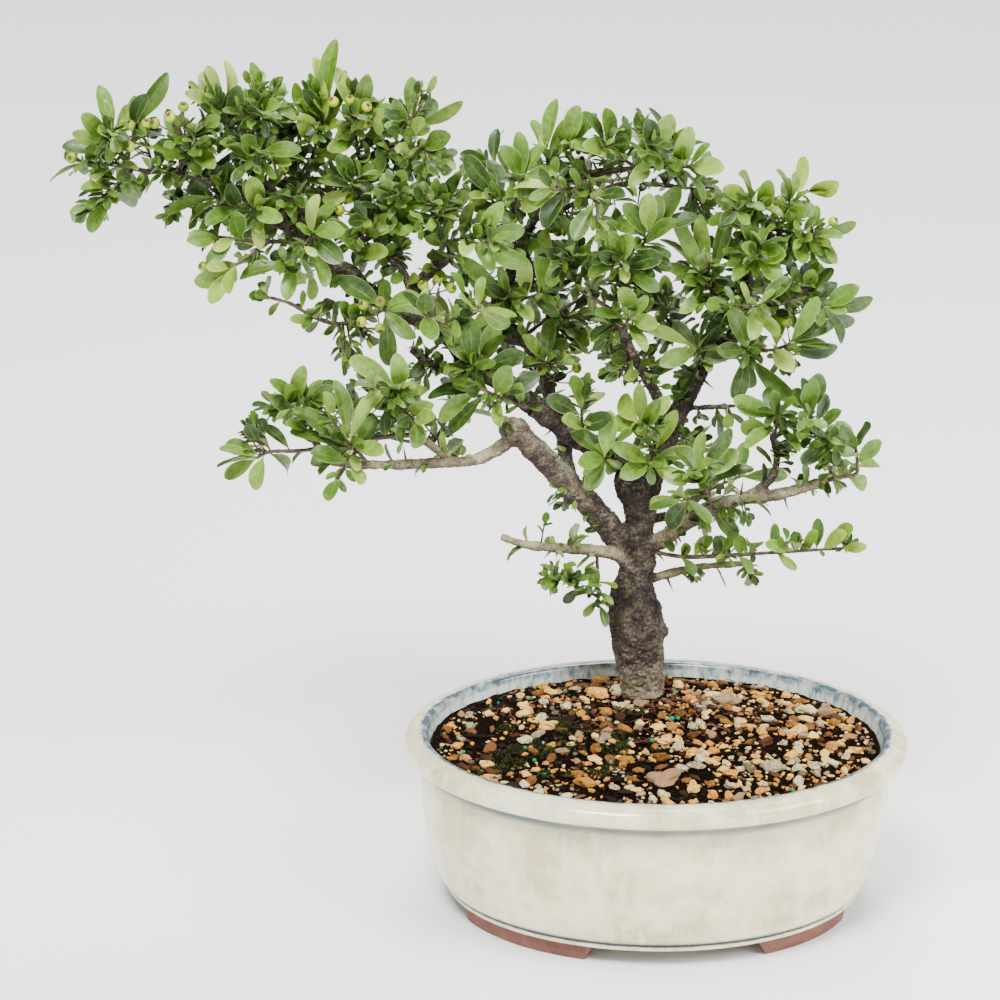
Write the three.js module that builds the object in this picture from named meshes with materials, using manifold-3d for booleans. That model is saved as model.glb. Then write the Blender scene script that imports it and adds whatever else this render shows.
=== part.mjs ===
import * as THREE from "three";
import { mergeVertices } from "three/addons/utils/BufferGeometryUtils.js";
import Module from "manifold-3d";

// Firethorn bonsai in its oval glazed pot. Millimetres, +Z up, the viewer stands on the -Y side.
// The tree is laid out as it is seen from the front: a point is given by how far it lies ACROSS and
// UP on an upright picture that faces the viewer, and how far BACK it lies behind the trunk's axis.
const EYE = new THREE.Vector3(-93.5, -1394, 716);
const GAZE_DOWN = THREE.MathUtils.degToRad(18.28);
const PICTURE_AWAY = 1508;
const TRUNK_Y = 72;
const GAP = 0.3;

// Pot: every level section is an oval, and OVAL is how much longer than wide its halves are.
const POT_HALF_WIDTH = 119;
const OVAL = 33.5;
const POT_SIDES = 30;
const RIM_Z = 111;
const UNDERSIDE_Z = 9;
const FLOOR_Z = 20;
const FOOT_OUTER = 89.5;
const FOOT_BAND = 15;
const FRONT_FOOT_GAP = { middle: 9, half: 49 };
const END_FOOT_GAP = { middle: 0, half: 30 };
const GAP_SLANT = 5;
const DRAIN_X = 52;
const DRAIN_RADIUS = 9;
const DRAIN_SIDES = 12;
const DRILL_LENGTH = 60;
const SCREEN_SIZE = 32;
const SCREEN_BAR = 5;
const SCREEN_THICK = 1.2;

// Soil: its edge, its crown, and the relief of bark and gravel on it.
const SOIL_EDGE = 102.6;
const SOIL_EDGE_Z = 102.5;
const SOIL_CROWN_Z = 106;
const SOIL_RINGS = 5;
const GRAVEL_RELIEF = 2.4;

// Leaf blades: length and breadth, and the shares of them at which a blade's corners lie.
const LEAF_LENGTH = 25;
const LEAF_LENGTH_SPREAD = 6;
const LEAF_BREADTH = 12.2;
const SLIMMEST = 0.45;
const MIDRIB_HALF = 0.65;
const MIDRIB_ALONG = 0.42;
const WIDEST_ALONG = 0.6;
const END_SHARE = 0.4;
const END_ALONG = 0.97;

// Stems, thorns and berries.
const STEM_TIP = 0.95;
const STEM_SWELL = 0.17;
const STEM_SIDES = 3;
const THORN_ROOT = 1;
const THORN_POINT = 0.35;
const BERRY_RADIUS = 3.2;
const STALK_RADIUS = 0.7;

// How leaves are set on a stem: steps between their places, what pulls a leaf to a place, and how
// much of a leaf's foot may lie in the crowd of necks at its stem's end.
const TRIES = 30;
const BASE_STEP = 2.2;
const FORWARD_PULL = 6;
const END_PULL = 0.15;
const CROWDING = 12;
const FIRST_SKIP = 0.07;
const MORE_SKIP = 0.007;
const SHIFT_STEP = 1.5;
const TURN_STEP = 6;
const LIGHTWARD = 0.5;
const GOLDEN_TURN = 2.39996;

// The key of the first leaf that stands by rule.
const RULE_KEY = 50;

// What a shoot has unless its row says otherwise.
const PLAIN_SHOOT = { tips: [], fill: 0, size: 1, spread: 15 };

const wasm = await Module();
wasm.setup();

// A repeatable draw between 0 and 1 for a row of whole numbers.
function draw(...keys) {
  let hash = 2166136261;
  for (const key of keys) {
    hash = Math.imul(hash ^ key, 16777619);
    hash ^= hash >>> 13;
    hash = Math.imul(hash, 1540483477);
    hash ^= hash >>> 15;
  }
  return (hash >>> 0) / 4294967296;
}

function place(across, up, back) {
  const ray = new THREE.Vector3(
    across,
    PICTURE_AWAY * Math.cos(GAZE_DOWN) + up * Math.sin(GAZE_DOWN),
    up * Math.cos(GAZE_DOWN) - PICTURE_AWAY * Math.sin(GAZE_DOWN),
  );
  return ray.multiplyScalar((TRUNK_Y + back - EYE.y) / ray.y).add(EYE);
}

function solid(geometry) {
  geometry.deleteAttribute("normal");
  geometry.deleteAttribute("uv");
  const merged = mergeVertices(geometry, 1e-4);
  const vertProperties = merged.attributes.position.array;
  const triVerts = new Uint32Array(merged.index.array);
  return new wasm.Manifold(new wasm.Mesh({ numProp: 3, vertProperties, triVerts }));
}

function joined(solids) {
  return solids.reduce((whole, next) => whole.add(next));
}

function largestBody(whole) {
  return whole.decompose().reduce((a, b) => (b.volume() > a.volume() ? b : a));
}

// Materials
function finish(color, roughness, metalness = 0) {
  return new THREE.MeshStandardMaterial({ color, roughness, metalness });
}
const celadonGlaze = finish(0xdfe0cd, 0.18);
const greenPlasticMesh = finish(0x2c4a38, 0.6);
const barkSoil = finish(0x3a2c22, 0.95);
const firethornBark = finish(0x75695c, 0.85);
const matureLeaf = finish(0x4f7a3c, 0.4);
const youngLeaf = finish(0x8fae5a, 0.45);
const greenBerry = finish(0xb5c24b, 0.35);

const group = new THREE.Group();

function addPiece(name, whole, material) {
  const made = whole.getMesh();
  const geometry = new THREE.BufferGeometry();
  const places = new THREE.BufferAttribute(made.vertProperties, 3);
  geometry.setAttribute("position", places).setIndex(new THREE.BufferAttribute(made.triVerts, 1));
  geometry.computeVertexNormals();
  const piece = new THREE.Mesh(geometry, material);
  piece.name = name;
  group.add(piece);
}

// Turned about the upright axis, then drawn out along X from a circle to the pot's oval.
function oval(profile) {
  const points = profile.map(([radius, height]) => new THREE.Vector2(radius, height));
  const geometry = new THREE.LatheGeometry(points, POT_SIDES).rotateX(Math.PI / 2);
  const places = geometry.attributes.position;
  for (let i = 0; i < places.count; i++) {
    const radius = Math.hypot(places.getX(i), places.getY(i));
    if (radius > 1e-3) places.setX(i, places.getX(i) * (1 + OVAL / radius));
  }
  return geometry;
}

function block(low, high) {
  const size = high.map((h, i) => h - low[i]);
  const middle = high.map((h, i) => (h + low[i]) / 2);
  return solid(new THREE.BoxGeometry(...size).translate(...middle));
}

// The inside face of the wall, from the lip's inner edge down to the floor.
const INNER_WALL = [
  [POT_HALF_WIDTH - 14, RIM_Z],
  [POT_HALF_WIDTH - 17, RIM_Z - 14],
  [POT_HALF_WIDTH - 19, 72],
  [POT_HALF_WIDTH - 23, 42],
  [POT_HALF_WIDTH - 30, 26],
  [POT_HALF_WIDTH - 38, FLOOR_Z],
];

function footGap(gap) {
  const outline = new THREE.Shape([
    new THREE.Vector2(gap.middle - gap.half - GAP_SLANT, -1),
    new THREE.Vector2(gap.middle + gap.half + GAP_SLANT, -1),
    new THREE.Vector2(gap.middle + gap.half - GAP_SLANT, UNDERSIDE_Z + 9),
    new THREE.Vector2(gap.middle - gap.half + GAP_SLANT, UNDERSIDE_Z + 9),
  ]);
  const depth = 4 * POT_HALF_WIDTH;
  const cutter = new THREE.ExtrudeGeometry(outline, { depth, bevelEnabled: false });
  return cutter.translate(0, 0, -depth / 2).rotateX(Math.PI / 2);
}

function makePot() {
  const outerWall = [
    [0, UNDERSIDE_Z],
    [POT_HALF_WIDTH - 28.5, UNDERSIDE_Z],
    [POT_HALF_WIDTH - 24.5, 12],
    [POT_HALF_WIDTH - 19.5, 23],
    [POT_HALF_WIDTH - 12.5, 50],
    [POT_HALF_WIDTH - 9.5, 96],
    [POT_HALF_WIDTH - 4, 97.5],
    [POT_HALF_WIDTH - 0.5, 101],
    [POT_HALF_WIDTH, 105],
    [POT_HALF_WIDTH - 3.5, 109.5],
    [POT_HALF_WIDTH - 9, RIM_Z],
  ];
  const body = solid(oval([...outerWall, ...INNER_WALL, [0, FLOOR_Z]]));
  const band = oval([
    [FOOT_OUTER - FOOT_BAND, 0],
    [FOOT_OUTER, 0],
    [FOOT_OUTER + 1, UNDERSIDE_Z + 2],
    [FOOT_OUTER - FOOT_BAND - 2, UNDERSIDE_Z + 2],
    [FOOT_OUTER - FOOT_BAND, 0],
  ]);
  const frontAndBack = solid(footGap(FRONT_FOOT_GAP));
  const ends = solid(footGap(END_FOOT_GAP).rotateZ(Math.PI / 2));
  const feet = solid(band).subtract(frontAndBack).subtract(ends);
  const drains = [-DRAIN_X, DRAIN_X].map((x) => {
    const drill = new THREE.CylinderGeometry(DRAIN_RADIUS, DRAIN_RADIUS, DRILL_LENGTH, DRAIN_SIDES);
    return solid(drill.rotateX(Math.PI / 2).translate(x, 0, FLOOR_Z));
  });
  return drains.reduce((pot, drain) => pot.subtract(drain), body.add(feet));
}

// A square of plastic mesh with two openings a side.
function makeScreen(x) {
  const half = SCREEN_SIZE / 2;
  const low = FLOOR_Z + GAP;
  let sheet = block([x - half, -half, low], [x + half, half, low + SCREEN_THICK]);
  const near = SCREEN_BAR / 2;
  const far = half - SCREEN_BAR;
  for (const [fromX, toX] of [[-far, -near], [near, far]]) {
    for (const [fromY, toY] of [[-far, -near], [near, far]]) {
      sheet = sheet.subtract(block([x + fromX, fromY, low - 1], [x + toX, toY, low + 3]));
    }
  }
  return sheet;
}

// A stem of any thickness: one ring of vertices round each point of its route, closed at both ends.
// A route point is { at, radius }, and extra is added all round and at both ends.
function stem(route, sides, extra = 0) {
  const last = route.length - 1;
  const curve = new THREE.CatmullRomCurve3(route.map((point) => point.at));
  const geometry = new THREE.CylinderGeometry(1, 1, 1, sides, last);
  const places = geometry.attributes.position;
  const rings = [];
  let side = new THREE.Vector3(1, 0.13, 0.07);
  for (let i = 0; i <= last; i++) {
    const along = curve.getTangent(i / last);
    side = side.clone().addScaledVector(along, -side.dot(along)).normalize();
    const across = new THREE.Vector3().crossVectors(side, along);
    const outward = (i === last) - (i === 0);
    rings.push({ side, across, at: route[i].at.clone().addScaledVector(along, outward * extra) });
  }
  for (let i = 0; i < places.count; i++) {
    const row = Math.round((places.getY(i) + 0.5) * last);
    const radius = route[row].radius + extra;
    const at = rings[row].at
      .clone()
      .addScaledVector(rings[row].side, places.getX(i) * radius)
      .addScaledVector(rings[row].across, places.getZ(i) * radius);
    places.setXYZ(i, at.x, at.y, at.z);
  }
  return solid(geometry);
}

// Trunk and limbs: points [across, up, back, radius] on each one's middle line, root first.
const LIMBS = {
  trunk: [
    [85, -158, 0, 11.5], [85, -122, 0, 13.4], [84.6, -109, 0, 12.8], [84.2, -96, 0, 13.8],
    [83.2, -86, 0, 15.4], [82.4, -76, 0, 16.4], [80.8, -65, 0, 15.4], [80, -55, 0, 12.9],
    [81.6, -44, 0, 10.6], [83, -34, 0, 9.6], [82, -24, 0, 10], [84, -12, 0, 8.8], [84, 0, 0, 9.6],
    [83, 7, -1, 13.6], [83, 14, -1, 12.8], [83, 19, -1, 8],
  ],
  trunk_nub: [[90, -78, -3, 4.6], [100.5, -79.5, -5, 2.6]],
  cut_knob: [[83, 9, 2, 9.5], [82.5, 8.5, -9, 9.8], [82, 8, -14.5, 7.4]],
  lower_left: [
    [80, -36, 0, 7.5], [72, -24, -1, 8], [45, 6, -6, 7.3], [18, 33, -14, 7], [9, 41, -18, 8],
    [3, 46, -20, 5],
  ],
  lower_left_arm: [
    [8, 37, -18, 4.4], [-6, 28, -22, 3.7], [-24, 23, -28, 3.1], [-80, 21, -40, 2.4],
    [-104, 23, -44, 1.5],
  ],
  lower_left_fork: [[-28, 23, -29, 2.4], [-52, 41, -38, 2], [-60, 53, -42, 1.5]],
  rear_limb: [
    [44, 8, -4, 5.2], [40, 21, 8, 4.5], [38, 38, 16, 4.3], [31, 58, 22, 4.1], [26, 76, 24, 4],
    [17, 93, 22, 4], [3, 101, 18, 4.8], [-1, 114, 14, 3.7], [-4, 128, 10, 3.7], [-18, 140, 4, 3.2],
  ],
  upper_left: [
    [84, 12, 8, 7.5], [72, 24, 10, 7.1], [45, 39, 5, 6.7], [7, 67, -4, 6.4], [-18, 84, -8, 5.6],
    [-36, 102, -8, 5.2], [-74, 121, -4, 4.8], [-90, 136, 0, 4.8], [-103, 142, 2, 4.9],
    [-124, 164, 4, 4.6], [-140, 190, 2, 2.6],
  ],
  far_left: [[-135, 181, 3, 2.8], [-161, 187, 0, 2.5], [-194, 197, -4, 2.1], [-214, 197, -6, 1.8]],
  left_middle_arm: [[-120, 160, 4, 3], [-147, 171, 8, 2.3], [-160, 171, 10, 2.1], [-193, 178, 16, 1.2]],
  bough_stub: [[-117, 158, 0, 3.8], [-121, 180, -6, 3]],
  fork: [[-53, 112, -6, 3.8], [-51, 126, -10, 3.6], [-42, 137, -12, 3.3], [-28, 148, -14, 2.6]],
  fork_arm: [
    [-52, 124, -9, 2.6], [-60, 140, -5, 2.4], [-71, 150, 0, 2.1], [-78, 171, 6, 1.8],
    [-84, 197, 8, 1.4],
  ],
  cut_stub: [[-14, 78, -8, 3], [-31, 78, -10, 2.8], [-45, 84, -14, 2.8], [-52, 91, -16, 3]],
  right_main: [
    [86, 4, 4, 6.6], [96, 24, 12, 6.4], [103, 44, 14, 6.2], [124, 83, 12, 4.2], [141, 102, 10, 4],
    [150, 134, 6, 2.6],
  ],
  right_stub: [[141, 100, 10, 3.6], [167, 121, 4, 4], [186, 127, 4, 3.4]],
  right_twig: [[113, 55, 14, 1.7], [150, 57, 4, 1.1]],
  centre: [[90, 12, 6, 4.4], [95, 36, 4, 3.6], [96, 57, 2, 3.3], [82, 83, -2, 3], [66, 115, -5, 2.6]],
  crown_bough: [
    [-1, 112, 14, 3.2], [12, 150, 8, 2.8], [22, 172, 4, 2.6], [34, 190, 0, 2.5], [74, 199, -4, 2],
  ],
  crown_rear_bough: [
    [23, 170, 6, 2.2], [37, 174, 10, 1.9], [56, 184, 12, 1.7], [79, 190, 14, 1.5],
    [115, 187, 16, 1.1],
  ],
  lower_right: [[84, -32, -2, 5.4], [130, -4, -18, 3.9], [169, 4, -28, 3.3], [197, 12, -34, 2.1]],
  lower_right_riser: [
    [146, 0, -22, 2.8], [162, 12, -24, 2.5], [166, 26, -24, 2.1], [163, 40, -22, 1.6],
  ],
  lower_right_rear: [[88, -12, 4, 3], [116, -6, 18, 2.3], [134, 2, 26, 1.6]],
  right_dead_stub: [[84, -49, 0, 3.2], [115, -41, 4, 2.2], [147, -38, 6, 1.5]],
  left_dead_stub: [[78, -38, -4, 4.4], [62, -31, -10, 3.5], [18, -27, -18, 2.5], [1, -22, -20, 1.9]],
};

// Thorns: root and point of each, as [across, up, back].
const THORNS = [
  [[-56, 21, -35], [-58, 33, -38]],
  [[120, 74, 13], [129, 66, 4]],
  [[144, -1, -21], [146, 13, -30]],
  [[100, -46, 2], [104, -55, -6]],
  [[-98, 139, 1], [-104, 129, -8]],
  [[36, 46, 3], [26, 38, -6]],
  [[91, 70, 0], [81, 66, -9]],
  [[-20, 85, -8], [-14, 97, -16]],
  [[170, 4, -28], [173, -7, -34]],
  [[-168, 190, -1], [-172, 180, -9]],
];

function routeOf(points) {
  return points.map(([across, up, back, radius]) => ({ at: place(across, up, back), radius }));
}

function limbSides(points) {
  if (points[0][3] > 8) return 9;
  return points[0][3] > 4 ? 6 : 4;
}

function makeWood(extra) {
  const limbs = Object.values(LIMBS).map((points) => stem(routeOf(points), limbSides(points), extra));
  const thorns = THORNS.map(([root, point]) => {
    const foot = { at: place(...root), radius: THORN_ROOT };
    return stem([foot, { at: place(...point), radius: THORN_POINT }], STEM_SIDES, extra);
  });
  return [...limbs, ...thorns];
}

// Leafy sprays. Each shoot has its STEM as [across, up, back] points, root first, the leaf TIPS that
// show from the front as [across, up, turn], where turn is how far a blade is turned away from the
// viewer in degrees, and FILL, the number of leaves that stand round the stem by rule. SIZE scales
// its leaves, and SPREAD is how far back from the stem's end they grow.
const SPRAYS = {
  far_left_spray: [
    { stem: [[-211, 197, -6], [-226, 200, -8], [-240, 202, -10], [-251, 203, -12]],
      tips: [[-271, 192, 72], [-241, 193, 30], [-258, 196, 20]] },
    { stem: [[-233, 201, -9], [-232, 222, -16]],
      tips: [[-263, 213], [-257, 220], [-250, 231], [-238, 245, 50], [-226, 241], [-240, 222]] },
    { stem: [[-224, 200, -8], [-219, 224, -8]], fill: 1,
      tips: [[-199, 256, 40], [-212, 243]] },
    { stem: [[-220, 199, -7], [-233, 184, -15]], fill: 1,
      tips: [[-247, 161], [-251, 187], [-223, 176]] },
  ],
  far_big_spray: [
    { stem: [[-192, 197, -4], [-184, 219, -12]], fill: 1,
      tips: [[-217, 208], [-201, 231], [-182, 226], [-189, 197], [-172, 200]] },
  ],
  left_top_spray: [
    { stem: [[-140, 188, 2], [-148, 203, 0], [-160, 222, 0], [-169, 234, 0]], fill: 1,
      tips: [[-188, 245], [-177, 259, 40], [-164, 264, 55], [-157, 248], [-184, 224]] },
    { stem: [[-152, 210, 0], [-144, 231, -10]],
      tips: [[-149, 263, 40], [-131, 250], [-159, 234], [-120, 233]] },
    { stem: [[-146, 200, 0], [-146, 208, -18]],
      tips: [[-120, 210], [-151, 220], [-167, 215]] },
  ],
  upright_pale_spray: [
    { stem: [[-123, 164, 6], [-120, 184, 12], [-112, 208, 10], [-106, 226, 6]], fill: 1,
      tips: [[-112, 266, 45], [-102, 270, 0], [-96, 260, 50], [-119, 231], [-97, 242]] },
    { stem: [[-115, 200, 11], [-134, 214, 14]], fill: 3,
      tips: [[-132, 236]] },
  ],
  round_top_spray: [
    { stem: [[-84, 194, 8], [-88, 230, 4]], fill: 1,
      tips: [[-79, 255], [-98, 226], [-66, 238], [-103, 210]] },
    { stem: [[-85, 203, 8], [-72, 210, 2], [-60, 214, -4], [-52, 228, -8]], fill: 1,
      tips: [[-53, 254], [-63, 240], [-38, 240], [-22, 239, 72]] },
    { stem: [[-64, 212, -2], [-45, 211, -14]],
      tips: [[-30, 218], [-25, 203], [-42, 197]] },
  ],
  bough_spray: [
    { stem: [[-79, 174, 6], [-89, 190, -10]], fill: 1,
      tips: [[-98, 207], [-69, 206], [-109, 194], [-113, 179], [-75, 186]] },
  ],
  front_rosette: [
    { stem: [[-113, 154, 0], [-112, 160, -20]],
      tips: [[-100, 180], [-93, 162], [-95, 143], [-135, 140], [-113, 176]] },
    { stem: [[-113, 158, -12], [-126, 140, -18]],
      tips: [[-157, 134], [-128, 120], [-104, 128]] },
  ],
  left_middle_spray: [
    { stem: [[-146, 170, 8], [-147, 174, -8]],
      tips: [[-131, 168], [-162, 190], [-149, 194], [-121, 191], [-144, 150]] },
    { stem: [[-147, 171, 4], [-172, 182, -4]], fill: 2,
      tips: [[-188, 190], [-176, 166], [-200, 172]] },
  ],
  left_pale_spray: [
    { stem: [[-116, 156, 2], [-136, 155, -4], [-154, 156, -8], [-169, 158, -10]],
      tips: [[-187, 156], [-176, 142], [-160, 172]] },
    { stem: [[-138, 155, -4], [-163, 138, -16]], fill: 1,
      tips: [[-174, 118], [-163, 124], [-140, 143], [-183, 130]] },
  ],
  berry_rosette: [
    { stem: [[-69, 118, -4], [-69, 114, -23]],
      tips: [[-95, 97], [-81, 91], [-52, 97], [-97, 133], [-70, 132], [-47, 121]] },
    { stem: [[-69, 115, -14], [-92, 106, -17], [-110, 109, -19], [-126, 118, -21], [-141, 122, -22]],
      size: 0.45, spread: 50,
      tips: [[-150, 121], [-139, 111], [-117, 101], [-118, 126], [-104, 99]] },
  ],
  middle_spray: [
    { stem: [[-89, 135, 2], [-82, 160, -10]], fill: 1,
      tips: [[-96, 160], [-62, 168], [-68, 148], [-104, 168]] },
    { stem: [[-84, 154, -7], [-64, 178, -18]],
      tips: [[-43, 178], [-41, 191], [-59, 198], [-48, 163], [-76, 196]] },
  ],
  fork_spray: [
    { stem: [[-30, 147, -14], [-37, 168, -24]], fill: 1,
      tips: [[-41, 190], [-24, 197], [-54, 172]] },
    { stem: [[-34, 155, -18], [-9, 158, -28]],
      tips: [[-16, 178], [1, 178], [15, 162, 50], [-22, 147], [17, 141, 40], [-4, 137]] },
  ],
  crown_left_spray: [
    { stem: [[13, 152, 8], [0, 181, -6]], fill: 1,
      tips: [[-21, 207], [-18, 182, 50], [-6, 205], [8, 164]] },
    { stem: [[5, 168, 1], [13, 192, -14]],
      tips: [[1, 212], [12, 221], [26, 214], [28, 188]] },
  ],
  crown_spear_spray: [
    { stem: [[30, 184, 1], [28, 208, -10]], fill: 1,
      tips: [[32, 240], [20, 228], [16, 206], [44, 200]] },
    { stem: [[28, 198, -7], [41, 215, -16]],
      tips: [[47, 236], [55, 228]] },
  ],
  crown_right_spray: [
    { stem: [[70, 198, -4], [88, 200, -6], [104, 199, -8], [117, 201, -8]], fill: 1,
      tips: [[114, 223], [128, 206], [134, 199], [114, 189]] },
    { stem: [[82, 199, -5], [62, 212, -18]],
      tips: [[49, 230, 40], [63, 235], [50, 212], [76, 226]] },
    { stem: [[92, 200, -7], [91, 211, -20]],
      tips: [[89, 228], [103, 231, 50], [78, 188]] },
    { stem: [[100, 199, -7], [102, 212, 8]], fill: 2,
      tips: [[99, 226]] },
  ],
  hanging_spray: [
    { stem: [[67, 113, -5], [72, 126, -8], [78, 138, -10], [84, 150, -12], [90, 161, -16]],
      tips: [[74, 178], [89, 184], [99, 180], [108, 188], [105, 168]] },
    { stem: [[76, 134, -9], [71, 144, -22]],
      tips: [[61, 170], [79, 158], [54, 134], [58, 150], [97, 146], [96, 126]] },
  ],
  centre_fan: [
    { stem: [[65, 114, -5], [56, 121, -6], [47, 128, -8], [44, 142, -10]], fill: 1,
      tips: [[48, 158], [36, 170, 50], [28, 150], [58, 148]] },
  ],
  centre_big_spray: [
    { stem: [[1, 117, 14], [26, 124, -4]],
      tips: [[38, 150], [27, 163], [14, 146], [41, 132], [34, 110]] },
    { stem: [[8, 119, 5], [5, 121, -14]],
      tips: [[-25, 146], [-16, 104], [0, 104], [19, 108], [-14, 130]] },
  ],
  big_pale_spray: [
    { stem: [[-9, 77, -7], [-17, 80, -25]],
      tips: [[-18, 110], [-32, 104], [3, 98], [15, 88], [-33, 76], [-3, 108]] },
  ],
  left_low_fan: [
    { stem: [[27, 52, -3], [10, 58, -14], [-3, 63, -20], [-12, 67, -24]],
      tips: [[0, 44], [-37, 47], [-45, 62], [-32, 40], [-31, 72], [6, 80], [24, 76]] },
  ],
  upright_middle_spray: [
    { stem: [[25, 78, 23], [27, 82, 2]],
      tips: [[30, 109], [14, 98], [42, 96], [44, 76]] },
  ],
  small_centre_spray: [
    { stem: [[50, 36, 5], [49, 54, -4]],
      tips: [[43, 74], [61, 66], [29, 60], [36, 46], [66, 50]] },
  ],
  trunk_top_spray: [
    { stem: [[73, 24, 8], [62, 25, -13]],
      tips: [[65, 54], [47, 22], [52, 6], [78, 42], [45, 40]] },
  ],
  bright_spray: [
    { stem: [[94, 32, 4], [89, 21, -16]],
      tips: [[117, 29], [65, 36], [106, 54], [112, 10], [72, 14]] },
    { stem: [[92, 29, -2], [84, 46, -16]],
      tips: [[73, 63], [84, 69], [96, 60], [66, 48]] },
  ],
  right_low_big_spray: [
    { stem: [[128, -5, -17], [118, 18, -31]],
      tips: [[139, 43], [158, 16], [124, 43], [104, 32], [143, 30]] },
    { stem: [[124, 2, -23], [110, 0, -36]],
      tips: [[89, -3], [127, -14], [100, -16]] },
  ],
  front_right_spray: [
    { stem: [[124, 83, 12], [118, 92, -8]],
      tips: [[104, 60], [96, 81], [137, 125], [84, 104], [104, 108], [89, 72], [132, 110]] },
  ],
  heart_right_spray: [
    { stem: [[140, 101, 10], [134, 116, -2], [124, 131, -8]],
      tips: [[108, 113], [104, 172], [139, 178], [121, 171], [97, 158, 60], [100, 142]] },
    { stem: [[137, 108, 5], [156, 117, -36]], fill: 3 },
  ],
  centre_right_spray: [
    { stem: [[73, 101, -4], [78, 110, -17]],
      tips: [[73, 126], [95, 105], [58, 112], [88, 90], [92, 122]] },
  ],
  right_middle_spray: [
    { stem: [[125, 84, 12], [139, 86, 6], [152, 90, -2], [164, 90, -8], [174, 94, -12]],
      tips: [[191, 122], [176, 78], [202, 107], [203, 91, 50], [165, 112]] },
    { stem: [[146, 89, 1], [148, 90, -14]],
      tips: [[138, 115], [155, 108], [148, 67], [138, 62], [122, 84], [178, 58, 40]] },
  ],
  right_edge_spray: [
    { stem: [[182, 126, 4], [195, 114, -8]],
      tips: [[224, 121, 60], [215, 128], [200, 138], [212, 106, 50]] },
  ],
  right_upper_spray: [
    { stem: [[150, 133, 6], [155, 150, 4], [163, 170, 4], [174, 178, 5], [185, 186, 6]], fill: 1,
      tips: [[166, 198, 68], [177, 196, 78], [191, 170], [202, 190, 76]] },
    { stem: [[160, 163, 4], [188, 158, -9]],
      tips: [[182, 176], [205, 158], [214, 166, 60], [203, 143], [182, 142]] },
    { stem: [[154, 147, 4], [154, 147, -14]],
      tips: [[128, 150], [168, 131], [172, 146], [146, 166], [140, 132]] },
    { stem: [[161, 165, 4], [150, 180, -4]], fill: 1,
      tips: [[144, 196], [132, 184, 40], [162, 192], [136, 168]] },
  ],
  right_low_rosette: [
    { stem: [[164, 34, -23], [167, 51, -33]],
      tips: [[141, 59], [177, 60], [160, 68], [144, 44], [147, 31], [180, 30]] },
  ],
  right_end_spray: [
    { stem: [[195, 11, -34], [206, 14, -36], [214, 16, -37], [214, 26, -38], [213, 33, -39]],
      size: 0.8,
      tips: [[228, 36, 30], [227, 22], [222, 46], [205, 44]] },
    { stem: [[202, 13, -35], [194, 26, -36], [190, 42, -36], [185, 54, -36]], size: 0.8,
      tips: [[188, 73], [196, 64], [204, 54], [175, 66]] },
    { stem: [[192, 32, -36], [200, 36, -44]], size: 0.7,
      tips: [[180, 24], [206, 20], [194, 18]] },
  ],
  low_right_shoot: [
    { stem: [[86, -32, -9], [110, -34, -14], [140, -33, -20], [172, -31, -26], [206, -29, -30]],
      size: 0.62, spread: 110,
      tips: [[127, -22], [143, -20], [152, -44], [165, -14], [190, -18], [210, -17], [220, -28],
        [118, -45], [178, -42]] },
  ],
  left_low_rosette: [
    { stem: [[-78, 21, -40], [-92, 36, -52]],
      tips: [[-98, 72], [-68, 68], [-76, 50], [-70, 28], [-114, 22], [-127, 36], [-124, 52]] },
    { stem: [[-86, 29, -47], [-98, 12, -57]],
      tips: [[-103, 0], [-84, 10], [-116, 32]] },
  ],
  left_low_far_spray: [
    { stem: [[-50, 39, -37], [-76, 37, -36], [-116, 30, -38], [-138, 29, -42], [-146, 25, -44]],
      tips: [[-165, 34], [-152, 43], [-170, 20, 60], [-147, 6], [-127, 16]] },
    { stem: [[-110, 31, -37], [-124, 56, -30]],
      tips: [[-118, 80], [-138, 72], [-143, 57, 50], [-106, 72]] },
  ],
  left_low_small_spray: [
    { stem: [[-59, 50, -41], [-62, 66, -46]], size: 0.9,
      tips: [[-62, 87], [-88, 82], [-44, 68], [-78, 60]] },
    { stem: [[-60, 55, -43], [-50, 46, -52]], size: 0.7,
      tips: [[-38, 48], [-60, 34], [-44, 34]] },
  ],
  low_small_spray: [
    { stem: [[58, -32, -11], [59, -63, -19]], size: 0.6,
      tips: [[54, -39], [70, -54], [50, -70], [63, -76]] },
    { stem: [[59, -58, -18], [32, -45, -24]], size: 0.55, spread: 24,
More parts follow.
